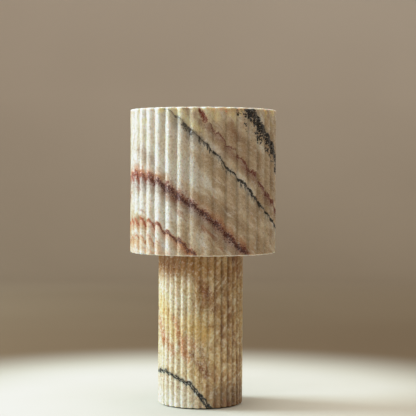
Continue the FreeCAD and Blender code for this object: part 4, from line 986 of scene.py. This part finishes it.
for part in frame["record"]["subparts"]:
    if part["material_slot"] in mats:
        obj = NODES[part["node"]]
        if not obj.material_slots:
            obj.data.materials.append(None)
        for place in obj.material_slots:
            place.material = mats[part["material_slot"]]


def piece(obj, mat, body, node):
    obj.data.materials.clear()
    obj.data.materials.append(mat)
    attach(obj, body)
    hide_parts(node)


piece(drum, stone_drum, "stand", "reeded_drum")
piece(column, stone_column, "stand", "reeded_column")

# ------------------------------------------------- threads and the opal globe
cap = threaded("bulb_cap_thread", 280.0, 304.0, 0.0, 12.35, 13.0, 3.63, 72, 10, wall=0.35)
piece(cap, mats["bulb_cap_metal"], "bulb", "bulb_screw_cap")
rod = threaded("rod_thread", 38.0, 239.0, 3.9, 4.48, 4.98, 1.0, 28, 5)
piece(rod, mats["plated_steel"], "stand", "threaded_rod")
# the globe's two skins about z 353, 30 and 29 mm in radius, cut off at the collar's top
skin = [[(rad * math.cos(low + (math.pi / 2 - low) * k / 60),
          353.0 + rad * math.sin(low + (math.pi / 2 - low) * k / 60)) for k in range(60)]
        + [(0.0, 353.0 + rad)]
        for rad, low in ((30.0, -math.asin(18.0 / 30.0)), (29.0, -math.asin(18.0 / 29.0)))]
globe = revolve("opal_globe", skin[0][::-1] + skin[1], 112, closed=False)
piece(globe, mats["bulb_diffuser"], "bulb", "bulb_globe")

# ---------------------------------------------------------------- the stage
# A round studio floor that rises into a wall, the same from every side.
floor_mesh = bpy.data.meshes.new("floor")
bm = bmesh.new()
prof = [(0.0, 0.0), (0.15, 0.0), (0.35, 0.0), (0.6, 0.0), (1.0, 0.0), (1.5, 0.0), (2.1, 0.0)]
for k in range(1, 13):
    t = math.radians(90 * k / 12)
    prof.append((2.1 + 0.9 * math.sin(t), 0.9 * (1 - math.cos(t))))
prof += [(3.0, 1.4), (3.0, 2.0)]
N = 96
rows = []
for rr, zz in prof:
    if rr == 0.0:
        rows.append([bm.verts.new((0, 0, 0))] * N)
    else:
        rows.append([bm.verts.new((rr * math.sin(2 * math.pi * k / N),
                                   rr * math.cos(2 * math.pi * k / N), zz)) for k in range(N)])
for r0, r1 in zip(rows, rows[1:]):
    for k in range(N):
        q = [r0[k], r1[k], r1[(k + 1) % N], r0[(k + 1) % N]]
        if r0[0] is r0[1]:
            q = [r0[0], r1[k], r1[(k + 1) % N]]
        bm.faces.new(q)
bmesh.ops.recalc_face_normals(bm, faces=bm.faces)
bm.to_mesh(floor_mesh)
bm.free()
for poly in floor_mesh.polygons:
    poly.use_smooth = True
floor = bpy.data.objects.new("floor", floor_mesh)
bpy.context.scene.collection.objects.link(floor)
gf = Graph("floor_paint")
fx, fy, fz = gf.split(gf.object)
reach = gf.vmath("LENGTH", gf.join(fx, fy, 0.0))
pale = gf.mix(gf.span(gf.noise(gf.object, 5.0, 3.0, 0.5), 0.35, 0.65, 0.0, 0.35),
              srgb(214, 211, 200), srgb(205, 201, 188))
soft = gf.span(gf.noise(gf.object, 1.2, 2.0, 0.5), 0.35, 0.65, 0.0, 0.5)
far = gf.mix(soft, srgb(108, 90, 70), srgb(102, 84, 64))
away = gf.mix(soft, srgb(139, 122, 101), srgb(132, 115, 94))
wall = gf.mix(soft, srgb(182, 164, 147), srgb(174, 156, 139))
high = gf.mix(soft, srgb(197, 180, 164), srgb(190, 173, 157))
far = gf.mix(gf.span(reach, 0.55, 2.0), far, away)
# the wall turns lighter the higher it rises: painted light
rise = gf.add(gf.span(reach, 1.55, 2.35, 0.0, 0.30), gf.span(fz, 0.0, 0.60, 0.0, 0.68, smooth=False))
far = gf.mix(rise, far, wall)
far = gf.mix(gf.span(fz, 0.50, 1.10), far, high)
gf.set("Base Color", gf.mix(gf.span(reach, 0.24, 0.62), pale, far))
gf.set("Roughness", 0.85)
gf.set("Specular IOR Level", 0.12)
floor.data.materials.append(gf.mat)

# ---------------------------------------------------------------- the light
world = bpy.data.worlds.new("studio")
bpy.context.scene.world = world
world.use_nodes = True
bg = world.node_tree.nodes["Background"]
bg.inputs[0].default_value = (1.0, 0.80, 0.58, 1.0)
bg.inputs[1].default_value = 0.085


def area(name, azimuth, elevation, dist, size, power, colour, target=(0, 0, 0.22), size_y=None):
    """azimuth 0 is at the camera's side, negative to the viewer's left."""
    data = bpy.data.lights.new(name, "AREA")
    data.shape = "RECTANGLE"
    data.size = size
    data.size_y = size_y or size
    data.energy = power
    data.color = colour
    obj = bpy.data.objects.new(name, data)
    bpy.context.scene.collection.objects.link(obj)
    a, e = math.radians(azimuth), math.radians(elevation)
    d = Vector((math.sin(a) * math.cos(e), -math.cos(a) * math.cos(e), math.sin(e)))
    obj.location = Vector(target) + d * dist
    obj.rotation_mode = "QUATERNION"
    obj.rotation_quaternion = d.to_track_quat("Z", "Y")
    return obj


area("key", -100, 27, 2.2, 1.0, 70, (0.81, 1.0, 1.07), size_y=0.9)
area("top", 90, 86, 2.4, 2.0, 58, (1.0, 0.97, 0.90))
area("strip", -33, 14, 2.6, 0.16, 7.0, (1.0, 0.98, 0.90), size_y=1.5)
area("rim", 122, 18, 2.6, 0.5, 2.2, (1.0, 0.88, 0.74), size_y=1.4)

bpy.context.scene.view_settings.view_transform = "Standard"
bpy.context.scene.view_settings.look = "None"
# a soft shoulder, so that the side towards the key light keeps its veins
shoulder = bpy.context.scene.view_settings
shoulder.use_curve_mapping = True
curves = shoulder.curve_mapping
curves.white_level = (1.6, 1.6, 1.6)
line = curves.curves[3]
line.points[0].location, line.points[-1].location = (0.0, 0.0), (1.0, 1.0)
for level, shown in ((0.1, 0.1), (0.2, 0.2), (0.3, 0.3), (0.4, 0.4), (0.5, 0.5), (0.6, 0.6),
                     (0.7, 0.695), (0.8, 0.775), (0.9, 0.84), (1.0, 0.885), (1.2, 0.937),
                     (1.4, 0.970)):
    line.points.new(level / 1.6, shown)
curves.update()
